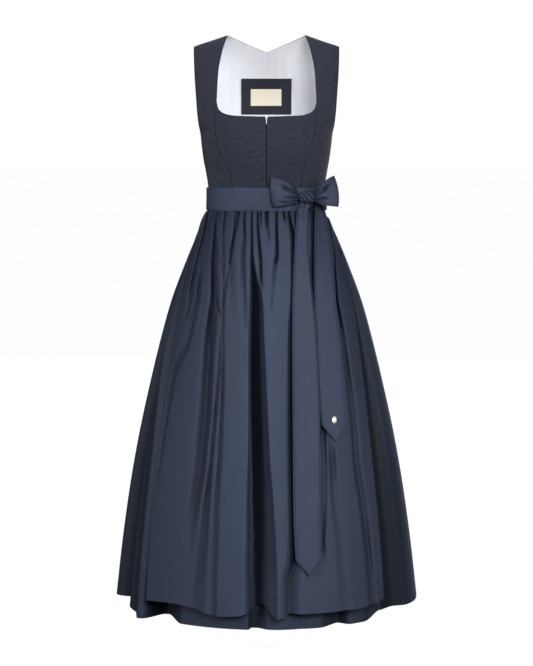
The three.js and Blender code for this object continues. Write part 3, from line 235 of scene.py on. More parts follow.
def mesh_object(name, verts, quads, materials, index=None, uv=None, sharp=55, smooth_shade=True, painted_light=None):
    """A mesh object from points in millimetres and four-cornered faces."""
    me = bpy.data.meshes.new(name)
    quads = np.asarray(quads, np.int32)
    me.vertices.add(len(verts))
    me.vertices.foreach_set("co", (np.asarray(verts, float) * 0.001).astype(np.float32).ravel())
    me.loops.add(quads.size)
    me.loops.foreach_set("vertex_index", quads.ravel())
    me.polygons.add(len(quads))
    me.polygons.foreach_set("loop_start", np.arange(len(quads), dtype=np.int32) * quads.shape[1])
    me.update(calc_edges=True)
    if uv is not None:
        layer = me.uv_layers.new(name="cloth")
        layer.data.foreach_set("uv", np.asarray(uv, np.float32)[quads.ravel()].ravel())
    # painted light: a factor per point that the fabrics multiply into the base colour, painted shade below 1 and
    # painted highlight above 1
    painted_light = np.ones(len(verts)) if painted_light is None else painted_light
    me.attributes.new("painted_light_and_shade", "FLOAT", "POINT").data.foreach_set("value", np.asarray(painted_light, np.float32))
    for m in materials:
        me.materials.append(m)
    if index is not None:
        me.polygons.foreach_set("material_index", np.asarray(index, np.int32))
    me.polygons.foreach_set("use_smooth", np.full(len(quads), smooth_shade))
    me.validate()
    if smooth_shade and sharp:
        me.set_sharp_from_angle(angle=math.radians(sharp))
    me.update()
    o = bpy.data.objects.new(name, me)
    bpy.context.scene.collection.objects.link(o)
    return o


def grid_quads(m, n, base=0, flip=False):
    i, j = np.meshgrid(np.arange(m - 1), np.arange(n - 1), indexing="ij")
    a = base + i * n + j
    q = np.stack([a, a + n, a + n + 1, a + 1], -1).reshape(-1, 4)
    return q[:, ::-1] if flip else q


def shell(name, P, t, materials, hint, N=None, uv=None, inner_index=0, rim_index=0, sharp=55, painted_light=None):
    """A closed thin wall of cloth: P holds the outer points (m x n x 3), t is the thickness, hint a function
    that points outwards. Both faces and the four edges are closed."""
    m, n = P.shape[:2]
    raw = unit(np.cross(np.gradient(P, axis=0), np.gradient(P, axis=1)))
    outward = (raw * hint(P)).sum(-1).mean() > 0
    if N is None:
        N = raw if outward else -raw
    Q = P - N * (t[..., None] if isinstance(t, np.ndarray) else t)
    verts = np.concatenate([P.reshape(-1, 3), Q.reshape(-1, 3)])
    k = m * n
    out = grid_quads(m, n, 0, not outward)
    inn = grid_quads(m, n, k, outward)
    edge = np.concatenate([np.arange(m) * n, (m - 1) * n + np.arange(1, n), (np.arange(m - 1)[::-1]) * n + n - 1, np.arange(1, n - 1)[::-1]])
    nxt = np.roll(edge, -1)
    rim = np.stack([edge, nxt, nxt + k, edge + k], -1)
    if outward:
        rim = rim[:, ::-1]
    quads = np.concatenate([out, inn, rim])
    index = np.concatenate([np.zeros(len(out)), np.full(len(inn), inner_index), np.full(len(rim), rim_index)]).astype(np.int32)
    if uv is None:
        uv = arc_uv(P)
    uv = np.concatenate([uv.reshape(-1, 2)] * 2)
    painted_light = None if painted_light is None else np.concatenate([painted_light.ravel()] * 2)
    return mesh_object(name + "_cloth", verts, quads, materials, index, uv, sharp, painted_light=painted_light)


def finish_piece(o, slot, nodes=()):
    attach(o, "root")
    if nodes:
        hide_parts(*nodes)
    return o


def from_axis(P):
    """Points away from the body's axis."""
    d = P * np.array([1.0, 1.0, 0.0])
    return unit(d)


# ------------------------------------------------------------------ node helpers
class Nodes:
    """Short ways to build a material's node tree."""

    def __init__(self, name):
        self.m = bpy.data.materials.new(name)
        self.m.use_nodes = True
        self.t = self.m.node_tree
        self.t.nodes.clear()
        self.out = self.t.nodes.new("ShaderNodeOutputMaterial")
        self.bsdf = self.t.nodes.new("ShaderNodeBsdfPrincipled")
        self.t.links.new(self.bsdf.outputs[0], self.out.inputs[0])
        self.coord = self.t.nodes.new("ShaderNodeTexCoord")

    def node(self, kind, **settings):
        n = self.t.nodes.new(kind)
        for k, v in settings.items():
            setattr(n, k, v)
        return n

    def link(self, a, b):
        self.t.links.new(a, b)

    def put(self, socket, value):
        if isinstance(value, bpy.types.NodeSocket):
            self.link(value, socket)
        else:
            socket.default_value = value

    def scaled(self, source, scale, rotation=(0, 0, 0), location=(0, 0, 0)):
        n = self.node("ShaderNodeMapping")
        self.link(source, n.inputs["Vector"])
        n.inputs["Scale"].default_value = scale
        n.inputs["Rotation"].default_value = rotation
        n.inputs["Location"].default_value = location
        return n.outputs[0]

    def noise(self, vector, scale=1.0, detail=2.0, rough=0.5, distortion=0.0):
        n = self.node("ShaderNodeTexNoise")
        self.link(vector, n.inputs["Vector"])
        n.inputs["Scale"].default_value = scale
        n.inputs["Detail"].default_value = detail
        n.inputs["Roughness"].default_value = rough
        n.inputs["Distortion"].default_value = distortion
        return n.outputs[0]

    def math(self, op, a, b=0.0, c=None, clamp=False):
        n = self.node("ShaderNodeMath", operation=op, use_clamp=clamp)
        self.put(n.inputs[0], a)
        self.put(n.inputs[1], b)
        if c is not None:
            self.put(n.inputs[2], c)
        return n.outputs[0]

    def remap(self, value, lo, hi, to_lo, to_hi):
        n = self.node("ShaderNodeMapRange")
        self.link(value, n.inputs["Value"])
        for k, v in zip(("From Min", "From Max", "To Min", "To Max"), (lo, hi, to_lo, to_hi)):
            n.inputs[k].default_value = v
        return n.outputs[0]

    def split(self, vector):
        n = self.node("ShaderNodeSeparateXYZ")
        self.link(vector, n.inputs[0])
        return n.outputs

    def tint(self, color, factor):
        """color times factor."""
        n = self.node("ShaderNodeVectorMath", operation="SCALE")
        self.put(n.inputs[0], color)
        self.put(n.inputs["Scale"], factor)
        return n.outputs[0]

    def mix(self, a, b, f):
        n = self.node("ShaderNodeMix", data_type="RGBA")
        self.put(n.inputs["Factor"], f)
        self.put(n.inputs[6], a)
        self.put(n.inputs[7], b)
        return n.outputs[2]

    def bump(self, height, strength, distance, normal=None):
        n = self.node("ShaderNodeBump")
        n.inputs["Strength"].default_value = strength
        n.inputs["Distance"].default_value = distance
        self.link(height, n.inputs["Height"])
        if normal is not None:
            self.link(normal, n.inputs["Normal"])
        return n.outputs[0]

    def set(self, **values):
        for k, v in values.items():
            s = self.bsdf.inputs[k.replace("_", " ")]
            self.put(s, v)


def lin(*rgb):
    """Linear colour from 0..255 screen values."""
    out = []
    for v in rgb:
        c = v / 255
        out.append(c / 12.92 if c <= 0.04045 else ((c + 0.055) / 1.055) ** 2.4)
    return tuple(out)


def woven(name, rgb, rough=0.6, sheen=0.2, sheen_rough=0.4, specular=0.4, slub=0.06, mottle=0.06, thread=0.9, relief=0.3, streak=0.03, anisotropic=0.0, folds=False, gloss=(1, 1, 1)):
    """Plain or satin weave: fine threads, slubs along the weft, faint vertical streaks, soft mottling."""
    k = Nodes(name)
    uv, obj = k.coord.outputs["UV"], k.coord.outputs["Object"]
    x, y, _ = k.split(uv)
    # threads: two sets of ridges, in cloth millimetres
    u = k.math("MULTIPLY", x, 2 * math.pi * 1000 / thread)
    v = k.math("MULTIPLY", y, 2 * math.pi * 1000 / thread)
    weave = k.math("MULTIPLY", k.math("SINE", u), k.math("SINE", v))
    slubs = k.noise(k.scaled(uv, (26, 420, 1)), 1.0, 3.0, 0.6)
    streaks = k.noise(k.scaled(uv, (380, 9, 1), location=(3.1, 1.7, 0)), 1.0, 2.0, 0.55)
    cloud = k.noise(k.scaled(obj, (9, 9, 5)), 1.0, 2.0, 0.5)
    f = k.math("ADD", 1.0, k.math("MULTIPLY", k.math("SUBTRACT", slubs, 0.5), slub * 2.4))
    f = k.math("ADD", f, k.math("MULTIPLY", k.math("SUBTRACT", streaks, 0.5), streak * 2.4))
    f = k.math("ADD", f, k.math("MULTIPLY", k.math("SUBTRACT", cloud, 0.5), mottle * 2.4))
    f = k.math("ADD", f, k.math("MULTIPLY", weave, 0.05))
    if folds:  # painted shade: the base colour is darkened down in the folds and wherever the painted light factor is low
        seen = k.node("ShaderNodeAttribute", attribute_name="painted_light_and_shade")
        f = k.math("MULTIPLY", f, k.remap(k.math("POWER", seen.outputs["Fac"], 2.0), 0.0, 1.0, 0.12, 1.04))
    k.set(Base_Color=k.tint(lin(*rgb), f))
    height = k.math("ADD", k.math("MULTIPLY", weave, 0.5), k.math("MULTIPLY", slubs, 1.2))
    k.set(Normal=k.bump(height, relief, 0.0002))
    k.set(Roughness=rough, Sheen_Weight=sheen, Sheen_Roughness=sheen_rough, Specular_IOR_Level=specular, Anisotropic=anisotropic)
    k.bsdf.inputs["Sheen Tint"].default_value = (0.6, 0.72, 1.0, 1)
    k.bsdf.inputs["Specular Tint"].default_value = (*gloss, 1)
    return k.m


def textured(name, rgb, rough=0.9):
    """The bodice's cloth: small raised dashes in broken rows with a fine cross rib, matt."""
    k = Nodes(name)
    uv, obj = k.coord.outputs["UV"], k.coord.outputs["Object"]
    x, y, _ = k.split(uv)
    rows = k.math("SINE", k.math("MULTIPLY", y, 2 * math.pi * 1000 / 3.1))
    dash = k.noise(k.scaled(uv, (52, 360, 1)), 1.0, 3.0, 0.62)
    cross = k.noise(k.scaled(uv, (330, 60, 1), location=(2.3, 0.4, 0)), 1.0, 3.0, 0.62)
    cloud = k.noise(k.scaled(obj, (12, 12, 12)), 1.0, 2.0, 0.5)
    body = k.math("ADD", k.math("MULTIPLY", k.math("SUBTRACT", dash, 0.5), 1.9), k.math("MULTIPLY", k.math("SUBTRACT", cross, 0.5), 1.0))
    f = k.math("ADD", 1.0, body)
    f = k.math("ADD", f, k.math("MULTIPLY", rows, 0.05))
    f = k.math("ADD", f, k.math("MULTIPLY", k.math("SUBTRACT", cloud, 0.5), 0.12))
    # painted light: the base colour is multiplied by the painted light factor, painted shade along the panel edges and
    # seams and a painted highlight on the fold beside the zip
    f = k.math("MULTIPLY", f, k.node("ShaderNodeAttribute", attribute_name="painted_light_and_shade").outputs["Fac"])
    k.set(Base_Color=k.tint(lin(*rgb), f))
    height = k.math("ADD", body, k.math("MULTIPLY", rows, 0.25))
    k.set(Normal=k.bump(height, 0.75, 0.0006))
    k.set(Roughness=rough, Sheen_Weight=0.12, Sheen_Roughness=0.5, Specular_IOR_Level=0.2)
    return k.m


def metal(name, rgb, rough=0.2):
    k = Nodes(name)
    obj = k.coord.outputs["Object"]
    wear = k.noise(k.scaled(obj, (900, 900, 900)), 1.0, 3.0, 0.6)
    k.set(Base_Color=k.tint(lin(*rgb), k.remap(wear, 0.3, 0.7, 0.93, 1.05)), Metallic=1.0, Roughness=k.remap(wear, 0.3, 0.7, rough * 0.8, rough * 1.3))
    return k.m


APRON_CLOTH = woven("apron_taffeta", (51, 59, 80), rough=0.5, sheen=0.10, specular=0.36, slub=0.20, mottle=0.07, streak=0.09, relief=0.6, folds=True, gloss=(0.70, 0.80, 1.0))
RIBBON_CLOTH = woven("ribbon_taffeta", (51, 58, 78), rough=0.52, sheen=0.10, specular=0.34, slub=0.17, mottle=0.06, streak=0.07, relief=0.6, folds=True, gloss=(0.70, 0.80, 1.0))
SKIRT_CLOTH = woven("skirt_satin", (41, 49, 66), rough=0.5, sheen=0.14, specular=0.34, slub=0.15, mottle=0.06, streak=0.07, relief=0.5, folds=True, gloss=(0.70, 0.80, 1.0))
BODICE_CLOTH = textured("bodice_jacquard", (45, 48, 61))
LINING_CLOTH = woven("lining_cotton", (236, 238, 243), rough=0.85, sheen=0.1, slub=0.02, mottle=0.02, specular=0.2)
PATCH_CLOTH = woven("patch_cotton", (43, 45, 56), rough=0.85, sheen=0.1, slub=0.06, mottle=0.04, specular=0.25)
LABEL_CLOTH = woven("label_ribbon", (241, 231, 207), rough=0.55, sheen=0.15, slub=0.03, mottle=0.03, specular=0.4)
ZIP_CLOTH = woven("zip_tape_weave", (38, 40, 50), rough=0.8, sheen=0.05, slub=0.04, mottle=0.04)
ZIP_TEETH = woven("zip_coil", (30, 32, 42), rough=0.4, sheen=0.0, slub=0.02, mottle=0.02)
THREAD = woven("sewing_thread", (46, 52, 70), rough=0.6, sheen=0.05, slub=0.02, mottle=0.05)
BODICE_THREAD = woven("bodice_thread", (38, 40, 50), rough=0.8, sheen=0.05, slub=0.02, mottle=0.05)
LABEL_THREAD = woven("label_thread", (206, 196, 172), rough=0.7, sheen=0.05, slub=0.02, mottle=0.05)
GOLD = metal("pale_gold", (255, 246, 226), 0.5)

# ------------------------------------------------------------------ torso
torso_wide, torso_power = column(TORSO, 1), column(TORSO, 2)
torso_front, torso_back = column(TORSO_DEPTH, 1), column(TORSO_DEPTH, 2)


def shoulder_line(x):
    return SHOULDER_SLOPE * (NECK_HALF - np.abs(x))


def torso(side, a, z):
    wide, p = torso_wide(z), 2 / torso_power(z)
    s, c = np.sin(a), np.maximum(0, np.cos(a))
    x = wide * power(s, p)
    fade = np.clip(1 + z / 220, 0, 1)
    level = np.minimum(0, z - shoulder_line(x) * fade)
    depth = torso_front(level) if side < 0 else torso_back(level)
    return np.stack([x, side * (SEAM / 2 + depth * c**p), z + 0 * x], -1)


def torso_angle(x, z):
    return np.sign(x) * np.arcsin(np.clip(np.abs(x) / torso_wide(z), 0, 1) ** (torso_power(z) / 2))


def torso_normal(side, a, z):
    q, e = np.clip(a, -1.5, 1.5), 0.004
    u = torso(side, q + e, z) - torso(side, q - e, z)
    v = torso(side, q, z + 0.4) - torso(side, q, z - 0.4)
    n = unit(np.cross(u, v))
    n = np.where((n[..., 1] * side < 0)[..., None], -n, n)
    flat = np.stack([np.sign(a), 0 * a, 0 * a], -1)
    n = np.where((np.abs(a) > 1.5)[..., None], flat, n)
    p = torso(side, a, z)
    w = np.clip(1 - (shoulder_line(p[..., 0]) - z) / 8, 0, 1)[..., None]
    ridge = unit(np.stack([np.sign(p[..., 0]) * SHOULDER_SLOPE, 0 * z, 1 + 0 * z], -1))
    return unit(n * (1 - w) + ridge * w)


def resample(points, n):
    pts = np.asarray(points, float)
    run = np.concatenate([[0], np.cumsum(np.linalg.norm(np.diff(pts, axis=0), axis=1))])
    s = np.linspace(0, run[-1], n + 1)
    return np.stack([curve(run, pts[:, 0])(s), curve(run, pts[:, 1])(s)], -1)


def join_edges(parts, ns):
    out = [resample(parts[0], ns[0])]
    for p, n in zip(parts[1:], ns[1:]):
        out.append(resample(p, n)[1:])
    return np.concatenate(out)


def coons(left, right, top, low):
    """(angle, z) over a grid between four edges of [x, z]."""
    def to_angle(e):
        e = np.asarray(e, float)
        return np.stack([torso_angle(e[:, 0], e[:, 1]), e[:, 1]], -1)

    L, R, T, B = map(to_angle, (left, right, top, low))
    nu, nv = len(T) - 1, len(L) - 1
    u = np.linspace(0, 1, nu + 1)[:, None, None]
    v = np.linspace(0, 1, nv + 1)[None, :, None]
    return ((1 - v) * T[:, None] + v * B[:, None] + (1 - u) * L[None] + u * R[None]
            - ((1 - u) * (1 - v) * T[0] + u * (1 - v) * T[-1] + (1 - u) * v * B[0] + u * v * B[-1]))


def mirrored(pts):
    return [(-x, z) for x, z in pts]


g2 = SEAM / 2
NV, NU = count(96), count(44)
SEAM_SPLIT = count(96)


def centre_front(sign):
    seam = [((r[1] - g2) if sign > 0 else (r[2] + g2), r[0]) for r in PRINCESS]
    inner = [(sign * x, z) for x, z in [(2.3, -184.6), (1.1, -191), (ZIP_GAP, -198), (ZIP_GAP, -300), (ZIP_GAP, WAIST_Z)]]
    neck = [(sign * x, z) for x, z in [(2.3, -184.6), *NECK_CORNER]]
    neck[-1] = (seam[0][0], neck[-1][1])
    return coons(resample(inner, NV), resample(seam, NV), resample(neck, NU), resample([inner[-1], seam[-1]], NU))


def side_front(sign):
    seam = [((r[1] + g2) if sign > 0 else (r[2] - g2), r[0]) for r in PRINCESS]
    neck = [(sign * x, z) for x, z in NECK]
    neck[-1] = (seam[0][0], neck[-1][1])
    n1, n2 = count(60), count(84)
    inner = join_edges([neck, seam], [n1, n2])
    arm = [(sign * x, z) for x, z in ARM_FRONT]
    side = [(sign * float(torso_wide(z)), z) for z in np.linspace(-215, WAIST_Z, 60)]
    side[0] = arm[-1]
    outer = join_edges([arm, side], [n1 + count(22), n2 - count(22)])
    low = outer[:, 1] <= -215.0  # the side seam lies exactly on the torso's widest line, so front and back meet
    outer[low, 0] = sign * torso_wide(outer[low, 1])
    m = count(36)
    return coons(inner, outer, resample([inner[0], outer[0]], m), resample([inner[-1], outer[-1]], m))


def back_seam(by, n):
    return resample([(x + by, z if k else z - by) for k, (x, z) in enumerate(BACK_SEAM)], n)


def centre_back(drop):
    n1, n2 = count(36), count(56)
    seam = back_seam(-g2, n2)
    arm = resample([*ARM_FRONT[:5], tuple(seam[0])], n1)
    right = np.concatenate([arm, seam[1:]])
    left = right * [-1, 1]
    a, b = count(18), count(26)
    top = join_edges([[(-164, -26), (-NECK_HALF, 0)], [(-NECK_HALF, 0), (0, BACK_NECK_Z)], [(0, BACK_NECK_Z), (NECK_HALF, 0)], [(NECK_HALF, 0), (164, -26)]], [a, b, b, a])
    top = top - [0, drop]
    low = resample([tuple(left[-1]), tuple(right[-1])], len(top) - 1)
    return coons(left, right, top, low)


def side_back(sign):
    n = count(56)
    seam = back_seam(g2, n) * [sign, 1]
    arm = resample([(abs(seam[0][0]), seam[0][1]), *ARM_FRONT[6:]], count(34)) * [sign, 1]
    zs = resample([(float(torso_wide(z)), z) for z in (-215, -248, -280, -302, -338, WAIST_Z)], n)
    side = np.stack([sign * torso_wide(zs[:, 1]), zs[:, 1]], -1)
    return coons(seam, side, arm, resample([tuple(seam[-1]), tuple(side[-1])], count(34)))


def edge_distance(P, sides):
    """Distance in mm from each grid point to the named edges of the grid: 'l', 'r' (first and last column of
    points), 't', 'b' (first and last row)."""
    du = np.linalg.norm(np.diff(P, axis=0), axis=-1)
    dv = np.linalg.norm(np.diff(P, axis=1), axis=-1)
    u = np.vstack([np.zeros((1, P.shape[1])), np.cumsum(du, axis=0)])
    v = np.hstack([np.zeros((P.shape[0], 1)), np.cumsum(dv, axis=1)])
    found = np.full(P.shape[:2], 1e3)
    for s in sides:
        d = {"l": u, "r": u[-1:] - u, "t": v, "b": v[:, -1:] - v}[s]
        found = np.minimum(found, d)
    return found


def ripple(P, k, amp):
    """Gentle unevenness of laid cloth, the same each run."""
    x, y, z = P[..., 0], P[..., 1], P[..., 2]
    return amp * (np.sin(x / 23 + k) * np.sin(z / 31 + 1.7 * k) + 0.6 * np.sin(x / 11 - z / 47 + 2.1 * k) * np.cos(y / 29 + k) + 0.4 * np.sin(z / 13 + 0.7 * k + x / 37)) / 2


FRONT_HINT = lambda P: np.broadcast_to(np.array([0.0, -1.0, 0.0]), P.shape)
BACK_HINT = lambda P: np.broadcast_to(np.array([0.0, 1.0, 0.0]), P.shape)
IN_FRONT_HINT = FRONT_HINT


def bodice_panel(name, side, patch, seams, k, amp=0.5):
    a, z = patch[..., 0], patch[..., 1]
    P, N = torso(side, a, z), torso_normal(side, a, z)
    d = edge_distance(P, seams)
    sink = 0.75 * bell(d, 1.9)
    P = P + N * (ripple(P, k, amp) * smooth(d, 0, 14) - sink)[..., None]
    # painted shade along every edge and seam of the panel
    painted_light = 1 - 0.42 * bell(edge_distance(P, "lrtb"), 1.9)
    if "center_front" in name:  # painted highlight on the folded edge beside the zip, painted shade along its topstitching
        fold = edge_distance(P, "l")
        painted_light = painted_light + 0.75 * bell(fold - 1.0, 0.9) - 0.14 * bell(fold - 7.5, 1.0)
    o = shell(name, P, T_BODICE, [BODICE_CLOTH, LINING_CLOTH], FRONT_HINT if side < 0 else BACK_HINT, N=N, inner_index=1, painted_light=painted_light)
    if side > 0:  # the facing is turned over the free edges: the cloth shows there on the inside too
        cells = (P.shape[0] - 1) * (P.shape[1] - 1)
        d = edge_distance(P, "t")
        near = (d[:-1, :-1] + d[1:, 1:]) / 2 < 7.0
        index = np.zeros(len(o.data.polygons), np.int32)
        o.data.polygons.foreach_get("material_index", index)
        if len(index) >= 2 * cells:
            index[cells:2 * cells] = np.where(near.ravel(), 0, 1)
            o.data.polygons.foreach_set("material_index", index)
    return o, P, N


BODICE = {}
for label_, sign in (("left", 1), ("right", -1)):
    BODICE["bodice_center_front_" + label_] = bodice_panel("bodice_center_front_" + label_, -1, centre_front(sign), "r", 1.3 + sign)
    BODICE["bodice_side_front_" + label_] = bodice_panel("bodice_side_front_" + label_, -1, side_front(sign), "lr", 2.9 + sign)
    BODICE["bodice_side_back_" + label_] = bodice_panel("bodice_side_back_" + label_, 1, side_back(sign), "lr", 4.1 + sign)
BODICE["bodice_center_back"] = bodice_panel("bodice_center_back", 1, centre_back(0), "lr", 6.0)
for name, (o, P, N) in BODICE.items():
    finish_piece(o, "bodice_cloth", [name])

# ------------------------------------------------------------------ lining of the back, patch, label
LININGS = {}


def lining_panel(name, patch, k, waves):
    a, z = patch[..., 0], patch[..., 1]
    P0, N = torso(1, a, z), torso_normal(1, a, z)
    x = P0[..., 0]
    soft = np.zeros_like(x)
    for at, lean, deep, width in waves:
        soft += deep * bell(x - at - lean * (z + 60) / 100, width)
    inset = T_BODICE + LOOSE - 0.9 + soft * smooth(-z, 20, 90) * smooth(z + 366, 0, 30)
    P = P0 - N * inset[..., None]
    return shell(name, P, T_LINING, [LINING_CLOTH], BACK_HINT, N=N), P, N


LINING_WAVES = [(-84, 5, 0.9, 8), (-62, 3, 1.2, 7), (-44, -2, 0.8, 6), (-22, 2, 1.1, 6), (-4, -1, 1.4, 4), (9, 2, 0.9, 4), (26, -4, 1.3, 6),
                (47, -9, 1.6, 6), (63, -14, 1.4, 7), (84, -8, 1.3, 8), (104, -5, 1.0, 8)]
LININGS["lining_center_back"] = lining_panel("lining_center_back", centre_back(4.8), 1.0, LINING_WAVES)
LININGS["lining_side_back_left"] = lining_panel("lining_side_back_left", side_back(1), 2.0, [(90, 4, 1.2, 8), (125, 0, 1.5, 9)])
LININGS["lining_side_back_right"] = lining_panel("lining_side_back_right", side_back(-1), 3.0, [(-90, -4, 1.2, 8), (-125, 0, 1.5, 9)])
for name, (o, P, N) in LININGS.items():
    finish_piece(o, "lining", [name])


def patch_on(x0, x1, z0, z1, nu, nv):
    return coons(resample([(x0, z0), (x0, z1)], nv), resample([(x1, z0), (x1, z1)], nv), resample([(x0, z0), (x1, z0)], nu), resample([(x0, z1), (x1, z1)], nu))


def on_lining(name, x0, x1, z0, z1, inset, t, mat, k, nu, nv):
    q = patch_on(x0, x1, z0, z1, nu, nv)
    P0, N = torso(1, q[..., 0], q[..., 1]), torso_normal(1, q[..., 0], q[..., 1])
    P = P0 - N * inset
    d = edge_distance(P, "lrtb")
    P = P - N * (ripple(P, k, 0.35) - 0.35 * bell(d, 1.5))[..., None]
    return shell(name, P, t, [mat], BACK_HINT, N=N), P, N


ON_LINING = T_BODICE + LOOSE + T_LINING + 4 * SEAM
patch_o, patch_P, patch_N = on_lining("label_patch", -59, 58.5, -92, -174, ON_LINING + 0.5, T_PATCH, PATCH_CLOTH, 5.0, count(60), count(44))
label_o, label_P, label_N = on_lining("label", -37, 35, -115.5, -154, ON_LINING + 0.5 + T_PATCH + 0.4, T_LABEL * 0.6, LABEL_CLOTH, 7.0, count(44), count(26))
finish_piece(patch_o, "patch", ["label_patch"])
finish_piece(label_o, "label", ["label"])


# ------------------------------------------------------------------ stitches and zip teeth, as joined meshes
def beads(name, centres, along, out, length, width, high, mat):
    """Small elongated lozenges, one at each centre: along is their long direction, out stands off the cloth."""
    c, a, n = map(lambda v: np.asarray(v, float), (centres, along, out))
    a, n = unit(a), unit(n)
    s = unit(np.cross(a, n))
    corners, quads = [], []
    ring = [(-.5, 0, 0), (-.22, -.5, .15), (-.22, 0, 1), (-.22, .5, .15), (.22, -.5, .15), (.22, 0, 1), (.22, .5, .15), (.5, 0, 0)]
    for f, g, h in ring:
        corners.append(c + a * f * length + s * g * width + n * h * high)
    V = np.stack(corners, 1)
    base = np.arange(len(c))[:, None] * 8
    tris = np.array([[0, 1, 2], [0, 2, 3], [0, 3, 1], [1, 4, 5], [1, 5, 2], [2, 5, 6], [2, 6, 3], [3, 6, 4], [3, 4, 1], [7, 5, 4], [7, 6, 5], [7, 4, 6]])
    F = (base[:, None] + tris[None]).reshape(-1, 3)
    o = mesh_object(name, V.reshape(-1, 3), F, [mat], None, np.zeros((len(V) * 8, 2)), sharp=0)
    return o


def along_grid(P, N, track, inset_mm, pitch, from_edge):
    """Stitch centres on a cloth grid, parallel to an edge. track: 'l','r','t','b'."""
    if track in "lr":
        d = edge_distance(P, track)
        line = []
        for j in range(P.shape[1]):
            col = d[:, j]
            order = np.argsort(col)
            line.append([np.interp(inset_mm, col[order], P[order, j, c]) for c in range(3)] + [np.interp(inset_mm, col[order], N[order, j, c]) for c in range(3)])
    else:
        d = edge_distance(P, track)
        line = []
        for i in range(P.shape[0]):
            col = d[i]
            order = np.argsort(col)
            line.append([np.interp(inset_mm, col[order], P[i, order, c]) for c in range(3)] + [np.interp(inset_mm, col[order], N[i, order, c]) for c in range(3)])
    line = np.array(line)
    run = np.concatenate([[0], np.cumsum(np.linalg.norm(np.diff(line[:, :3], axis=0), axis=1))])
    s = np.arange(from_edge, run[-1] - from_edge, pitch)
    pts = np.stack([np.interp(s, run, line[:, c]) for c in range(6)], -1)
    ahead = np.stack([np.interp(s + 0.5, run, line[:, c]) for c in range(3)], -1)
    behind = np.stack([np.interp(s - 0.5, run, line[:, c]) for c in range(3)], -1)
    return pts[:, :3], ahead - behind, unit(pts[:, 3:])


def stitch_rows(name, rows, mat, slot_name, length=2.3, width=0.5, high=0.32):
    c, a, n = (np.concatenate([r[k] for r in rows]) for k in range(3))
    o = beads(name, c, a, n, length, width, high, mat)
    return finish_piece(o, slot_name)


# zip: a tape behind the slit and a coil of teeth in it
q = patch_on(-8, 8, -200, WAIST_Z, count(12), count(80))
zP0, zN = torso(-1, q[..., 0], q[..., 1]), torso_normal(-1, q[..., 0], q[..., 1])
zP = zP0 - zN * (T_BODICE + 4 * SEAM)
zip_o = shell("zip_tape", zP, T_ZIP, [ZIP_CLOTH], FRONT_HINT, N=zN)
finish_piece(zip_o, "zip", ["zip_tape"])
tz = np.arange(-202, WAIST_Z + 1, -1.5)
ta = torso_angle(np.where(np.arange(len(tz)) % 2, 0.45, -0.45), tz)
tP, tN = torso(-1, ta, tz), torso_normal(-1, ta, tz)
teeth = beads("zip_teeth", tP - tN * (T_BODICE + 0.9), np.tile([1.0, 0, 0], (len(tz), 1)), tN, 2.6, 1.0, 0.8, ZIP_TEETH)
finish_piece(teeth, "zip")

# ------------------------------------------------------------------ skirt and apron
def ring(table):
    return [column(table, k) for k in (1, 2, 3, 4)]


SKIRT_RING, BAND_RING = ring(SKIRT), ring(BAND)
apron_off = column(APRON_OFF, 1)


def oval(rings, deg, z, off=0.0):
    wide, front, back, pw = [f(z) for f in rings]
    a = np.radians(deg)
    s, c, p = np.sin(a), np.cos(a), 2 / pw
    x = (wide + off) * power(s, p)
    y = np.where(c >= 0, -(front + off), back + off) * np.abs(c) ** p
    return np.stack([x, y, z + 0 * x], -1)


def oval_out(rings, deg, z, off=0.0):
    a, b = oval(rings, deg + 0.4, z, off), oval(rings, deg - 0.4, z, off)
    d = a - b
    return unit(np.stack([d[..., 1], -d[..., 0], 0 * d[..., 0]], -1)) * 1.0


def ready(folds):
    out = []
    for f in folds:
        row = dict(sharp=f.get("sharp", 0.35), over=f.get("over", 0.0), flat=f.get("flat", 0.0), wall=f.get("wall", 0.0), name=f["name"])
        if "rows" in f:
            row.update(zip(("angle", "depth", "lw", "rw"), [column(f["rows"], k) for k in (1, 2, 3, 4)]))
            if len(f["rows"][0]) > 5:
                row["over"] = column(f["rows"], 5)
        else:
            three = [LEVELS[0], LEVELS[3], LEVELS[5]]
            row.update(angle=curve(LEVELS, f["at"]), depth=curve(LEVELS, f["deep"]), lw=curve(three, f["left"]), rw=curve(three, f["right"]))
        out.append(row)
    return out


APRON_F, SKIRT_F = ready(APRON_FOLDS), ready(SKIRT_FOLDS)


def turned(d):
    return (d + 180) % 360 - 180


def arc_mm(deg, at, z):
    gap = turned(deg - at)
    mid = np.radians(at + gap / 2)
    depth = np.where(np.cos(mid) >= 0, SKIRT_RING[1](z), SKIRT_RING[2](z))
    return np.radians(gap) * np.hypot(SKIRT_RING[0](z) * np.cos(mid), depth * np.sin(mid))


def fold_field(folds, gathers, deg, z):
    """Depth below the outline and sideways shift, in mm."""
    D, S = np.zeros(np.broadcast(deg, z).shape), np.zeros(np.broadcast(deg, z).shape)
    for f in folds:
        deep = f["depth"](z)
        mm = arc_mm(deg, f["angle"](z), z)
        t = np.where(mm < 0, -mm / f["lw"](z), mm / f["rw"](z))
        inside = t < 1
        tt = np.clip((t - f["flat"]) / (1 - f["flat"]), 0, 1)
        s = f["sharp"]
        shape = (1 - s) * 0.5 * (1 + np.cos(np.pi * tt)) + s * (1 - np.sin(np.pi * tt / 2))
        if f["wall"]:
            shape = np.where(mm > 0, 1 - tt ** f["wall"], shape)
        D += np.where(inside, deep * shape, 0)
        if callable(f["over"]) or f["over"]:
            over = f["over"](z) if callable(f["over"]) else f["over"]
            S += np.where(inside & (mm < 0), over * np.clip(deep / 16, 0, 1) * np.sin(np.pi * tt) ** 2, 0)
    for a0, a1, deep, length, half in gathers:
        t = np.clip((BAND_LOW_Z - z) / length, 0, 1.6)
        at = a0 + (a1 - a0) * np.clip(t, 0, 1.3)
        mm = arc_mm(deg, at, z)
        w = half * (1 + 0.8 * t)
        D += deep * smooth(BAND_LOW_Z - z, -3, 7) * np.exp(-1.6 * t**2) * np.exp(-np.abs(mm / w) ** 1.6)
    return D, S


def apron_field(deg, z):
    return fold_field(APRON_F, [], deg, z)


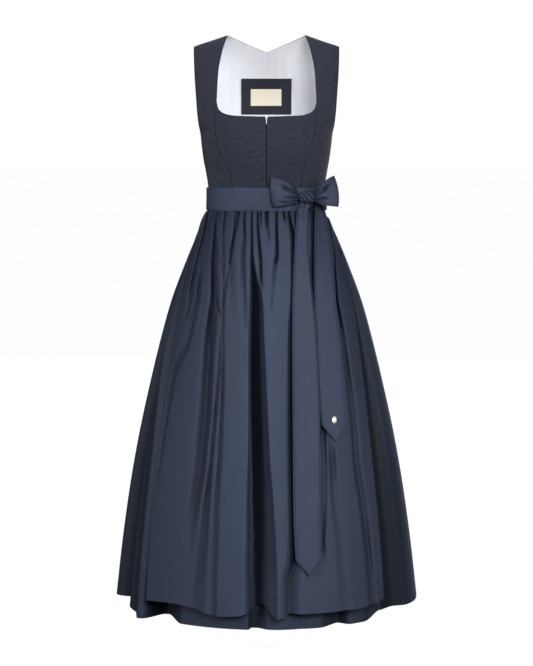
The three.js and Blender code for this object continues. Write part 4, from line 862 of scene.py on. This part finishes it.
def inward(deg, z):
    """The way the folds sink in: straight back over the front, towards the axis at the sides and the back; and how
    far a step of one millimetre along it brings the cloth in."""
    n = oval_out(SKIRT_RING, deg, z)
    k = (1 - smooth(np.abs(turned(deg)), 56, 86))[..., None]
    m = unit(-n * (1 - k) + np.array([0.0, 1.0, 0.0]) * k)
    return m, n, np.maximum(-(m * n).sum(-1), 0.35)


def folded(field, deg, z, off):
    D, S = field(deg, z)
    m, n, share = inward(deg, z)
    T = np.stack([-n[..., 1], n[..., 0], 0 * n[..., 0]], -1)
    return oval(SKIRT_RING, deg, z) + m * (D - off / share)[..., None] + T * S[..., None]


def openness(P, M, reach=70.0, most=34):
    """How much of the room's light reaches each point of a cloth grid, from the height of the cloth on both
    sides of it along its row: 1 on a crest, near 0 at the bottom of a narrow valley; it is used as painted shade in the
    base colour."""
    found = []
    for step in (-1, 1):
        best = np.zeros(P.shape[:2])
        for k in list(range(1, 12)) + list(range(12, most, 2)):
            if k >= P.shape[0]:
                break
            d = np.zeros_like(P)
            if step > 0:
                d[:-k] = P[k:] - P[:-k]
            else:
                d[k:] = P[:-k] - P[k:]
            h = -(d * M).sum(-1)
            far = np.linalg.norm(d, axis=-1)
            best = np.maximum(best, np.where(far > 0.2, h / np.maximum(far, 0.2), 0) * np.clip(2 - far / reach, 0, 1))
        found.append(best)
    return 1 - 0.5 * (found[0] + found[1])


def puff(z):
    """The gathered cloth stands out a little just under the band."""
    return 3.2 * smooth(BAND_LOW_Z - z, 0, 9) * np.exp(-np.clip(BAND_LOW_Z - z, 0, None) / 26)


def apron(deg, z):
    return folded(apron_field, deg, z, apron_off(z) + puff(z))


edge_right, edge_left = curve(LEVELS, APRON_EDGE_RIGHT), curve(LEVELS, APRON_EDGE_LEFT)


def skirt_field(deg, z):
    D, S = fold_field(SKIRT_F, SKIRT_GATHERS, deg, z)
    # under the apron the skirt gives way to the apron's folds
    d = turned(deg)
    near = (d > edge_right(z) - 2) & (d < edge_left(z) + 2)
    if near.any():
        dn, zn = d[near], (z + 0 * deg)[near]
        per = np.degrees(1 / np.hypot(SKIRT_RING[0](zn) * np.cos(np.radians(dn)), SKIRT_RING[1](zn) * np.sin(np.radians(dn))))
        Da = np.maximum.reduce([apron_field(dn + k * per, zn)[0] for k in (-6, -3, 0, 3, 6)])
        under = smooth(dn - edge_right(zn), -2, 2) * smooth(edge_left(zn) - dn, -2, 2) * smooth(-zn, 384, 394)
        D[near] += under * np.maximum(0, Da - (apron_off(zn) + puff(zn)) / inward(dn, zn)[2] + 5.5 - D[near])
    return D, S


def skirt(deg, z):
    return folded(skirt_field, deg, z, 0.0)


def spread_columns(surface, d0, d1, z, n, blend=0.65):
    """n + 1 angles between d0 and d1 at height z, closer together where the cloth is steep."""
    dense = np.linspace(d0, d1, 900)
    P = surface(dense, np.full_like(dense, z))
    run = np.concatenate([[0], np.cumsum(np.linalg.norm(np.diff(P, axis=0), axis=1))])
    run = blend * run / run[-1] + (1 - blend) * np.linspace(0, 1, len(dense))
    return np.interp(np.linspace(0, 1, n + 1), run, dense)


def cloth_grid(surface, d0, d1, zs, n):
    """Grid of a cloth between two angle curves."""
    deg = np.stack([spread_columns(surface, float(d0(z)), float(d1(z)), z, n) for z in zs], 1)
    return deg, np.broadcast_to(np.asarray(zs, float)[None, :], deg.shape)


# apron
NA, MA = count(300), count(150)
top = BAND_LOW_Z - SEAM
frac = np.linspace(0, 1, MA + 1) ** 1.35
zs = top + (-1243 - top) * frac
deg_a, _ = cloth_grid(apron, edge_right, edge_left, zs, NA)
hem_z = column(APRON_HEM, 1)(deg_a[:, -1])
z_a = top + (hem_z[:, None] - top) * frac[None, :]
P_APRON = apron(deg_a, z_a)
# painted shade: the apron's base colour is darkened down in its folds, by how little of the room's light reaches them
apron_o = shell("apron_panel", P_APRON, T_APRON, [APRON_CLOTH], from_axis, painted_light=openness(P_APRON, inward(deg_a, z_a)[0]))
finish_piece(apron_o, "apron_cloth", ["apron_panel"])

# skirt, four panels whose seams lie in valleys
VALLEY = {f["name"]: f["angle"] for f in SKIRT_F}


def skirt_panel(name, a, b, n, m):
    def edge(which, by):
        f = VALLEY[which]

        def at(z):
            d = float(f(z))
            per = g2 / (math.radians(1) * math.hypot(SKIRT_RING[0](z) * math.cos(math.radians(d)), SKIRT_RING[1](z) * math.sin(math.radians(d))))
            return d + by * per * 0.12  # the seam is drawn shut

        return at

    start, end = edge(a, 1), edge(b, -1)
    lo = start
    hi = lambda z: lo(z) + (end(z) - lo(z)) % 360
    fr = np.linspace(0, 1, m + 1) ** 1.3
    zz = (WAIST_Z - SEAM) + (HEM_Z - WAIST_Z + SEAM) * fr
    deg, zg = cloth_grid(skirt, lo, hi, zz, n)
    P = skirt(deg, zg)
    # painted shade: the skirt's base colour is darkened down in its folds
    painted_light = openness(P, inward(deg, zg)[0])
    # painted shade: beside the apron's left edge the skirt, lying in the hollow behind that edge, is darkened in its
    # base colour
    d = turned(deg)
    mm = np.radians(d - edge_left(zg)) * SKIRT_RING[0](zg)
    reach = curve([-460, -560, -650, -835, -1000, -1250], [26, 46, 62, 92, 122, 140])(zg)
    near = np.where((mm > -6) & (d > 0), 1 - smooth(mm / reach, 0.40, 1.15), 0)
    painted_light = painted_light * (1 - 0.82 * near * smooth(-zg, 395, 470))
    o = shell(name, P, T_SKIRT, [SKIRT_CLOTH], from_axis, painted_light=painted_light)
    finish_piece(o, "skirt_cloth", [name])
    return o, P


SK = {}
SK["skirt_front"] = skirt_panel("skirt_front", "side_right", "side_left", count(260), count(110))
SK["skirt_side_left"] = skirt_panel("skirt_side_left", "side_left", "back_a", count(210), count(110))
SK["skirt_back"] = skirt_panel("skirt_back", "back_a", "right_d", count(184), count(104))
SK["skirt_side_right"] = skirt_panel("skirt_side_right", "right_d", "side_right", count(184), count(104))


# ------------------------------------------------------------------ band and tie
def band_piece(name, d0, d1, n, k):
    m = count(26)
    v = np.linspace(0, 1, m + 1)
    zz = BAND_TOP_Z - 2.8 + (BAND_LOW_Z - BAND_TOP_Z + 2.8) * v
    deg, zg = np.meshgrid(np.linspace(d0, d1, n + 1), zz, indexing="ij")
    P = oval(BAND_RING, deg, zg)
    N = oval_out(BAND_RING, deg, zg)
    roll = 1.0 * (bell(v * 55, 1.6) + bell((1 - v) * 55, 1.6))
    soft = 0.55 * np.sin(np.radians(deg) * 5.3 + k + 2.2 * v) * np.sin(np.pi * v) + 0.35 * np.sin(np.radians(deg) * 12.7 + 2 * k - 3 * v) * np.sin(np.pi * v)
    P = P + N * (soft + 0.5 * np.sin(np.pi * v) - roll)[..., None]
    o = shell(name, P, T_BAND, [RIBBON_CLOTH], from_axis, N=N)
    finish_piece(o, "apron_cloth", [name])
    return o, P, N


band_o, band_P, band_N = band_piece("apron_waistband", -97, KNOT_ANGLE, count(150), 0.4)
tie_o, tie_P, tie_N = band_piece("apron_tie_round", KNOT_ANGLE + 0.2, 262.85, count(200), 1.9)


# ------------------------------------------------------------------ bow
def loop_piece(name, start, end, top, low, tilt, bulge, flat, creases):
    nt, nv = count(110), count(46)
    start, end = np.array(start, float), np.array(end, float)
    d2 = end - start
    long = np.linalg.norm(d2)
    direc = np.array([*(d2 / long), 0.0])
    side = np.array([direc[1], -direc[0], 0]) if direc[0] < 0 else np.array([-direc[1], direc[0], 0])
    front = side if side[1] < 0 else -side
    t = np.linspace(0, np.pi, nt + 1)[:, None]
    v = np.linspace(0, 1, nv + 1)[None, :]
    a = np.sin(t) ** 0.9 + 0 * v
    v = v + 0 * t
    reach = long + tilt[0] * (1 - v) * a + tilt[1] * 4 * v * (1 - v) * a
    b = np.cos(t) * (2.7 + bulge * a)
    b = np.where(b < 0, b * (flat + (1 - flat) * (1 - a)), b)
    near = np.cos(t) > 0
    wave = np.zeros_like(a)
    for at, lean, deep, width, dies in creases:
        wave += deep * np.exp(-np.abs((v - at - lean * a) / (width * (0.6 + 0.9 * a))) ** 1.7) * np.exp(-((a / dies) ** 2.4)) * smooth(a, 0.0, 0.10)
    b = b - np.where(near, wave, -0.5 * wave)
    grow = a**0.75
    z = (low[0] + (low[1] - low[0]) * grow) * (1 - v) + (top[0] + (top[1] - top[0]) * grow) * v
    z = z + 2.2 * np.sin(np.pi * a) * (v - 0.5)
    P = np.stack([start[0] + direc[0] * reach * a + front[0] * b, start[1] + direc[1] * reach * a + front[1] * b, z], -1)
    mid = np.array([start[0] + direc[0] * long * 0.55, start[1] + direc[1] * long * 0.55, 0])
    away = unit((P - mid) * [1, 1, 0])
    # painted shade: darker in the creases, along the stitched rim and the edges, and towards the knot
    across = openness(np.swapaxes(P, 0, 1), -np.swapaxes(away, 0, 1), 22.0, 16).T
    rim = np.minimum(v, 1 - v) * 60
    painted_light = across ** 1.6 * (1 - 0.30 * bell(rim - 3.2, 1.0)) * (1 - 0.45 * bell(rim, 0.8)) * (1 - 0.55 * (1 - smooth(a, 0.02, 0.34)))
    o = shell(name, P, T_RIBBON, [RIBBON_CLOTH], lambda Q: unit((Q - mid) * [1, 1, 0]), painted_light=painted_light)
    finish_piece(o, "apron_cloth", [name])
    return o, P


CREASES = {
    "bow_loop_right": [(0.60, 0.22, 11.0, 0.075, 0.46), (0.34, -0.10, 9.0, 0.07, 0.36), (0.86, 0.05, 4.0, 0.05, 0.24), (0.10, 0.0, 6.0, 0.07, 0.60)],
    "bow_loop_left": [(0.56, 0.30, 11.5, 0.08, 0.55), (0.28, -0.02, 9.0, 0.07, 0.42), (0.84, 0.02, 3.5, 0.05, 0.27), (0.08, 0.0, 4.0, 0.06, 0.42)],
}
LOOP_O = {n: loop_piece(n, creases=CREASES[n], **row) for n, row in LOOPS.items()}

tail_off = [column(TAIL_OFF, 1), column(TAIL_OFF, 2)]


def skirt_angle(x, z, off):
    return np.degrees(np.arcsin(np.clip(np.abs(x) / (SKIRT_RING[0](z) + off), 0, 1) ** (SKIRT_RING[3](z) / 2))) * np.sign(x)


def on_tail(which, x, z):
    zz = np.minimum(z, BAND_LOW_Z)
    off = apron_off(zz) + tail_off[which](z) + T_RIBBON + puff(zz) * 0.6
    p = oval(SKIRT_RING, skirt_angle(x, zz, off), zz, off)
    return np.stack([x, p[..., 1], z], -1)


def tail_piece(name, table, which, pleats, waves):
    across, rows = count(46), count(220)
    left_x, right_x = column(table[:-1], 1), column(table[:-1], 2)
    z0, z1, zt = table[0][0], table[-2][0], table[-1][0]
    tip = (table[-1][1] + table[-1][2]) / 2
    s = np.linspace(0, 1, across + 1)[:, None]
    v = np.linspace(0, 1, rows + 1)[None, :]
    zc = z0 + (zt - z0) * v
    L, R = left_x(zc), right_x(zc)
    # every column runs down to the slanted edge of the point
    x1 = left_x(z1) + (right_x(z1) - left_x(z1)) * s
    low = np.where(x1 < tip, z1 + (zt - z1) * (x1 - left_x(z1)) / (tip - left_x(z1)), z1 + (zt - z1) * (right_x(z1) - x1) / (right_x(z1) - tip))
    z = z0 + (low - z0) * v
    x = left_x(z) + (right_x(z) - left_x(z)) * s
    P = on_tail(which, x, z)
    n = normals(P, FRONT_HINT)
    h = 4.5 * smooth(z, -470, -400) * (1 if which else 0.6)
    for at, at2, deep, width, length in pleats:
        t = np.clip((z0 - z) / length, 0, 2)
        h -= deep * bell(s - at - (at2 - at) * t, width) * np.exp(-1.8 * t**2)
    for zc_, amp, width, slope in waves:
        h += amp * bell(z - zc_ - slope * (s - 0.5), width)
    fade = smooth(z, -640, -520) * (1 - smooth(z, -396, -374))
    turn = 0.60 + 0.22 * smooth(-z, 430, 590)
    under = smooth(s, turn, turn + 0.26) * fade  # the long tail's right side bends back behind the short one
    h = h - 13 * under if which else h + 5 * smooth(z, -600, -430) * (1 - s) ** 2
    # the rim is turned under and stitched: a soft groove just inside every edge
    rim = np.minimum(np.minimum(s * (right_x(z) - left_x(z)), (1 - s) * (right_x(z) - left_x(z))), (z - low) * 0.62)
    h = h + 0.5 * bell(rim - 1.2, 1.3) - 0.55 * bell(rim - 3.6, 0.9) - 0.6 * bell(rim, 0.7)
    P = P + n * h[..., None]
    N = normals(P, FRONT_HINT)
    # painted shade: darker in the folds, along the stitched groove and the edges, and on the long tail along its right
    # side behind the short tail and along its right edge at the top
    painted_light = openness(P, -n, 30.0, 20) * (1 - 0.30 * bell(rim - 3.6, 1.1)) * (1 - 0.45 * bell(rim, 0.8))
    if which:
        painted_light = painted_light * (1 - 0.72 * smooth(s, turn + 0.04, turn + 0.24) * fade) * (1 - 0.75 * smooth(s, 0.95, 0.985) * smooth(z, -900, -880))
    o = shell(name, P, T_RIBBON, [RIBBON_CLOTH], FRONT_HINT, N=N, painted_light=painted_light)
    finish_piece(o, "apron_cloth", [name])
    return o, P, N


TAIL = {
    "bow_tail_long": tail_piece("bow_tail_long", TAIL_LONG, 1, [(0.22, 0.10, 1.6, 0.05, 40), (0.42, 0.36, 1.8, 0.05, 42)],
                                [(-700, 0.9, 26, 30), (-838, -0.8, 22, 24), (-905, 0.7, 26, -20), (-980, -0.7, 20, 16), (-1040, 0.6, 22, 26), (-1105, -0.6, 16, -12)]),
    "bow_tail_short": tail_piece("bow_tail_short", TAIL_SHORT, 0, [(0.70, 0.80, 3.0, 0.08, 60)], [(-560, 0.8, 24, 22), (-660, -0.8, 26, 20), (-770, 0.6, 22, -18)]),
}


def knot_piece():
    nt, ns = count(96), count(60)
    th = np.linspace(np.pi * 0.5 + 0.02, np.pi * 2.5 - 0.02, nt + 1)[:, None]  # the cut lies at the back
    s = np.linspace(-1, 1, ns + 1)[None, :]
    r = 0.30 + 0.70 * (1 - np.abs(s) ** 2.6) ** 0.5
    # the wrapped ribbon's wrinkles run aslant from the upper right to the lower left of the wearer
    ph = 9.5 * s + 5.6 * (th - 1.5 * np.pi) + 0.9 * np.sin(2.2 * s + 1.0) + 0.6
    wrinkle = (np.abs(np.sin(ph / 2)) ** 0.6 - 0.68) * 3.0 * (1 - np.abs(s) ** 5)
    c, d = np.cos(th), np.sin(th)
    y = KNOT["y"] + (KNOT["hy"] * r + wrinkle) * power(d, 0.85)
    z = KNOT["z"] + (KNOT["hz"] * 1.02 * r + wrinkle * 0.6) * power(c, 0.85) - 1.6 * s
    x = KNOT["x"] + 0.4 + KNOT["hx"] * s + 0 * th
    P = np.stack([x, y, z], -1)
    centre = np.array([KNOT["x"], KNOT["y"], KNOT["z"]])
    # painted shade over the whole knot, deepest in the hollows of its wrinkles and towards its two ends
    painted_light = np.clip(0.62 + 0.26 * wrinkle, 0.25, 1) * (1 - 0.5 * np.abs(s) ** 4)
    o = shell("bow_knot", P, 1.2, [RIBBON_CLOTH], lambda Q: unit((Q - centre) * [0, 1, 1]), painted_light=painted_light)
    finish_piece(o, "apron_cloth", ["bow_knot"])
    return o, P


knot_o, knot_P = knot_piece()


# ------------------------------------------------------------------ stud
def stud_piece():
    w, h, hi = STUD["wide"], STUD["tall"], STUD["high"]
    profile = np.array([(0.985, 0.0), (1.0, 0.06), (1.0, 0.22), (0.965, 0.32), (0.90, 0.34), (0.865, 0.30), (0.84, 0.36), (0.80, 0.55), (0.70, 0.72), (0.54, 0.86), (0.36, 0.95), (0.18, 0.99), (0.02, 1.0)])
    n = 64
    a = np.linspace(0, 2 * np.pi, n, endpoint=False)
    xz = on_tail(0, np.array(STUD["x"]), np.array(STUD["z"]))
    e = 0.5
    u = on_tail(0, np.array(STUD["x"] + e), np.array(STUD["z"])) - on_tail(0, np.array(STUD["x"] - e), np.array(STUD["z"]))
    v = on_tail(0, np.array(STUD["x"]), np.array(STUD["z"] + e)) - on_tail(0, np.array(STUD["x"]), np.array(STUD["z"] - e))
    u, v = unit(u), unit(v)
    nn = unit(np.cross(u, v))
    nn = nn if nn[1] < 0 else -nn
    base = xz + nn * 0.3
    verts = []
    for r, k in profile:
        verts.append(base + (np.cos(a)[:, None] * u * w + np.sin(a)[:, None] * v * h) * r + nn * k * hi)
    verts = np.concatenate(verts)
    quads = []
    m = len(profile)
    for k in range(m - 1):
        i = np.arange(n)
        j = (i + 1) % n
        quads.append(np.stack([k * n + i, k * n + j, (k + 1) * n + j, (k + 1) * n + i], -1))
    quads = np.concatenate(quads)
    # caps
    c0, c1 = len(verts), len(verts) + 1
    verts = np.concatenate([verts, [base], [base + nn * hi]])
    i = np.arange(n)
    j = (i + 1) % n
    tris0 = np.stack([np.full(n, c0), j, i], -1)
    tris1 = np.stack([np.full(n, c1), (m - 1) * n + i, (m - 1) * n + j], -1)
    me = bpy.data.meshes.new("stud_metal")
    flip = np.dot(np.cross(u, v), nn) < 0
    faces = [tuple(map(int, f)) for f in quads] + [tuple(map(int, f)) for f in np.concatenate([tris0, tris1])]
    if flip:
        faces = [f[::-1] for f in faces]
    me.from_pydata([tuple(p) for p in verts * 0.001], [], faces)
    me.materials.append(GOLD)
    me.polygons.foreach_set("use_smooth", np.ones(len(faces), bool))
    me.update()
    o = bpy.data.objects.new("stud_metal", me)
    bpy.context.scene.collection.objects.link(o)
    return finish_piece(o, "stud", ["stud"])


stud_o = stud_piece()


# ------------------------------------------------------------------ stitching
rows = {"bodice": [], "apron": [], "skirt": [], "patch": [], "label": []}
for side in ("left", "right"):
    _, P, N = BODICE["bodice_center_front_" + side]
    rows["bodice"].append(along_grid(P, N, "t", 4.5, 2.9, 6))
    _, P, N = BODICE["bodice_side_front_" + side]
    rows["bodice"].append(along_grid(P, N, "r", 5.0, 2.9, 6))
    _, P, N = BODICE["bodice_side_back_" + side]
    rows["bodice"].append(along_grid(P, N, "t", 5.0, 2.9, 6))
_, P, N = BODICE["bodice_center_front_left"]
rows["bodice"].append(along_grid(P, N, "l", 7.5, 2.9, 8))
_, P, N = BODICE["bodice_center_back"]
rows["bodice"].append(along_grid(P, N, "t", 4.5, 2.9, 6))
for P, N in ((band_P, band_N), (tie_P, tie_N)):
    rows["apron"] += [along_grid(P, N, track, 2.6, 3.0, 3) for track in "tb"]
for name, (o, P, N) in TAIL.items():
    rows["apron"] += [along_grid(P, N, track, 3.6, 3.0, 5) for track in "lrb"]
rows["apron"] += [along_grid(P_APRON, normals(P_APRON, from_axis), "b", 16, 3.4, 10)]
for name, (o, P) in SK.items():
    rows["skirt"].append(along_grid(P, normals(P, from_axis), "b", 24, 3.6, 10))
rows["patch"] += [along_grid(patch_P - patch_N * T_PATCH, -patch_N, track, 3.0, 2.8, 4) for track in "lrtb"]
rows["label"] += [along_grid(label_P - label_N * T_LABEL * 0.6, -label_N, track, 1.6, 2.4, 2) for track in "lr"]
for part, slot, thread in (("bodice", "bodice_cloth", BODICE_THREAD), ("apron", "apron_cloth", THREAD), ("skirt", "skirt_cloth", THREAD),
                           ("patch", "patch", THREAD), ("label", "label", LABEL_THREAD)):
    stitch_rows(part + "_stitching", rows[part], thread, slot)

# ------------------------------------------------------------------ cloth sizes
FLAT = {
    "bodice_center_front_left": (0.129, 0.224), "bodice_center_front_right": (0.130, 0.225),
    "bodice_side_front_left": (0.120, 0.406), "bodice_side_front_right": (0.114, 0.406),
    "bodice_side_back_left": (0.119, 0.258), "bodice_side_back_right": (0.120, 0.258),
    "bodice_center_back": (0.387, 0.403), "lining_center_back": (0.382, 0.399),
    "lining_side_back_left": (0.117, 0.257), "lining_side_back_right": (0.117, 0.257),
    "label_patch": (0.117, 0.083), "label": (0.071, 0.039), "zip_tape": (0.016, 0.169),
    "apron_panel": (0.645, 0.913), "skirt_front": (0.883, 0.992), "skirt_side_left": (0.604, 0.953),
    "skirt_back": (0.520, 0.950), "skirt_side_right": (0.451, 0.952),
    "apron_waistband": (0.311, 0.053), "apron_tie_round": (0.443, 0.053),
    "bow_loop_right": (0.144, 0.071), "bow_loop_left": (0.133, 0.071), "bow_knot": (0.073, 0.047),
    "bow_tail_long": (0.092, 0.836), "bow_tail_short": (0.104, 0.558),
}


def declare(name, o, P):
    """Works out the piece's flat cut, width and length from FLAT and the area of the grid in metres, and clamps the
    area between 0.31 and 1 times width by length; the results are not used.
    """
    a = np.linalg.norm(np.cross(P[1:, :-1] - P[:-1, :-1], P[:-1, 1:] - P[:-1, :-1]), axis=-1)
    b = np.linalg.norm(np.cross(P[1:, :-1] - P[1:, 1:], P[:-1, 1:] - P[1:, 1:]), axis=-1)
    area = (a.sum() + b.sum()) / 2 / 1e6
    w, l = FLAT[name]
    area = min(max(area, 0.31 * w * l), w * l)


for name, (o, P, N) in BODICE.items():
    declare(name, o, P)
for name, (o, P, N) in LININGS.items():
    declare(name, o, P)
declare("label_patch", patch_o, patch_P)
declare("label", label_o, label_P)
declare("zip_tape", zip_o, zP)
declare("apron_panel", apron_o, P_APRON)
for name, (o, P) in SK.items():
    declare(name, o, P)
declare("apron_waistband", band_o, band_P)
declare("apron_tie_round", tie_o, tie_P)
for name, (o, P) in LOOP_O.items():
    declare(name, o, P)
declare("bow_knot", knot_o, knot_P)
for name, (o, P, N) in TAIL.items():
    declare(name, o, P)

# ------------------------------------------------------------------ floor, light, camera
def plane(name, size, centre):
    me = bpy.data.meshes.new(name)
    h = size / 2
    cx, cy, cz = centre
    me.from_pydata([(cx - h, cy - h, cz), (cx + h, cy - h, cz), (cx + h, cy + h, cz), (cx - h, cy + h, cz)], [], [(0, 1, 2, 3)])
    o = bpy.data.objects.new(name, me)
    bpy.context.scene.collection.objects.link(o)
    return o


floor = plane("studio_floor", 900, (0, 0, FLOOR_Z))
fm = bpy.data.materials.new("floor_pale")
fm.use_nodes = True
ft = fm.node_tree
ft.nodes.clear()
fo, fe, fd, fa = (ft.nodes.new(k) for k in ("ShaderNodeOutputMaterial", "ShaderNodeEmission", "ShaderNodeBsdfDiffuse", "ShaderNodeAddShader"))
fe.inputs[0].default_value, fe.inputs[1].default_value = (1, 1, 1, 1), 0.985
fd.inputs[0].default_value = (0.05, 0.05, 0.05, 1)
ft.links.new(fe.outputs[0], fa.inputs[0])
ft.links.new(fd.outputs[0], fa.inputs[1])
ft.links.new(fa.outputs[0], fo.inputs[0])
floor.data.materials.append(fm)
floor.visible_diffuse = floor.visible_glossy = False

world = bpy.data.worlds.new("studio")
bpy.context.scene.world = world
world.use_nodes = True
wt = world.node_tree
wt.nodes.clear()
wo, path, mixed, seen, ambient = (wt.nodes.new(k) for k in ("ShaderNodeOutputWorld", "ShaderNodeLightPath", "ShaderNodeMixShader", "ShaderNodeBackground", "ShaderNodeBackground"))
seen.inputs[0].default_value, seen.inputs[1].default_value = (1, 1, 1, 1), 1.0
ambient.inputs[0].default_value, ambient.inputs[1].default_value = (0.95, 0.97, 1, 1), 0.05
wt.links.new(path.outputs["Is Camera Ray"], mixed.inputs[0])
wt.links.new(ambient.outputs[0], mixed.inputs[1])
wt.links.new(seen.outputs[0], mixed.inputs[2])
wt.links.new(mixed.outputs[0], wo.inputs[0])


def area_light(name, at, aim, width, height, watts, color=(1, 1, 1)):
    d = bpy.data.lights.new(name, "AREA")
    d.shape, d.size, d.size_y, d.energy, d.color = "RECTANGLE", width, height, watts, color
    o = bpy.data.objects.new(name, d)
    o.location = at
    o.rotation_euler = (Vector(aim) - Vector(at)).to_track_quat("-Z", "Y").to_euler()
    bpy.context.scene.collection.objects.link(o)
    return o


area_light("key", (1.1, -4.45, 1.35), (0, 0, -0.65), 1.7, 1.7, 176)
area_light("side_right", (3.8, -2.5, 0.5), (0, 0, -0.6), 1.8, 2.6, 80)
area_light("side_left", (-3.8, -2.5, 0.4), (0, 0, -0.6), 1.8, 2.6, 104)
area_light("back_fill", (0.4, 4.4, 1.2), (0, 0, -0.5), 3.0, 2.6, 150)

camera = bpy.data.cameras.new("camera")
camera.sensor_fit, camera.sensor_width, camera.lens = "AUTO", 36, 1575 / 666 * 36
cam = bpy.data.objects.new("camera", camera)
cam.location = (0, -3.6, -0.275)
cam.rotation_euler = (math.radians(83.66), 0, 0)
camera.clip_start, camera.clip_end = 0.05, 200
bpy.context.scene.collection.objects.link(cam)
bpy.context.scene.camera = cam
bpy.context.scene.view_settings.view_transform = "Standard"
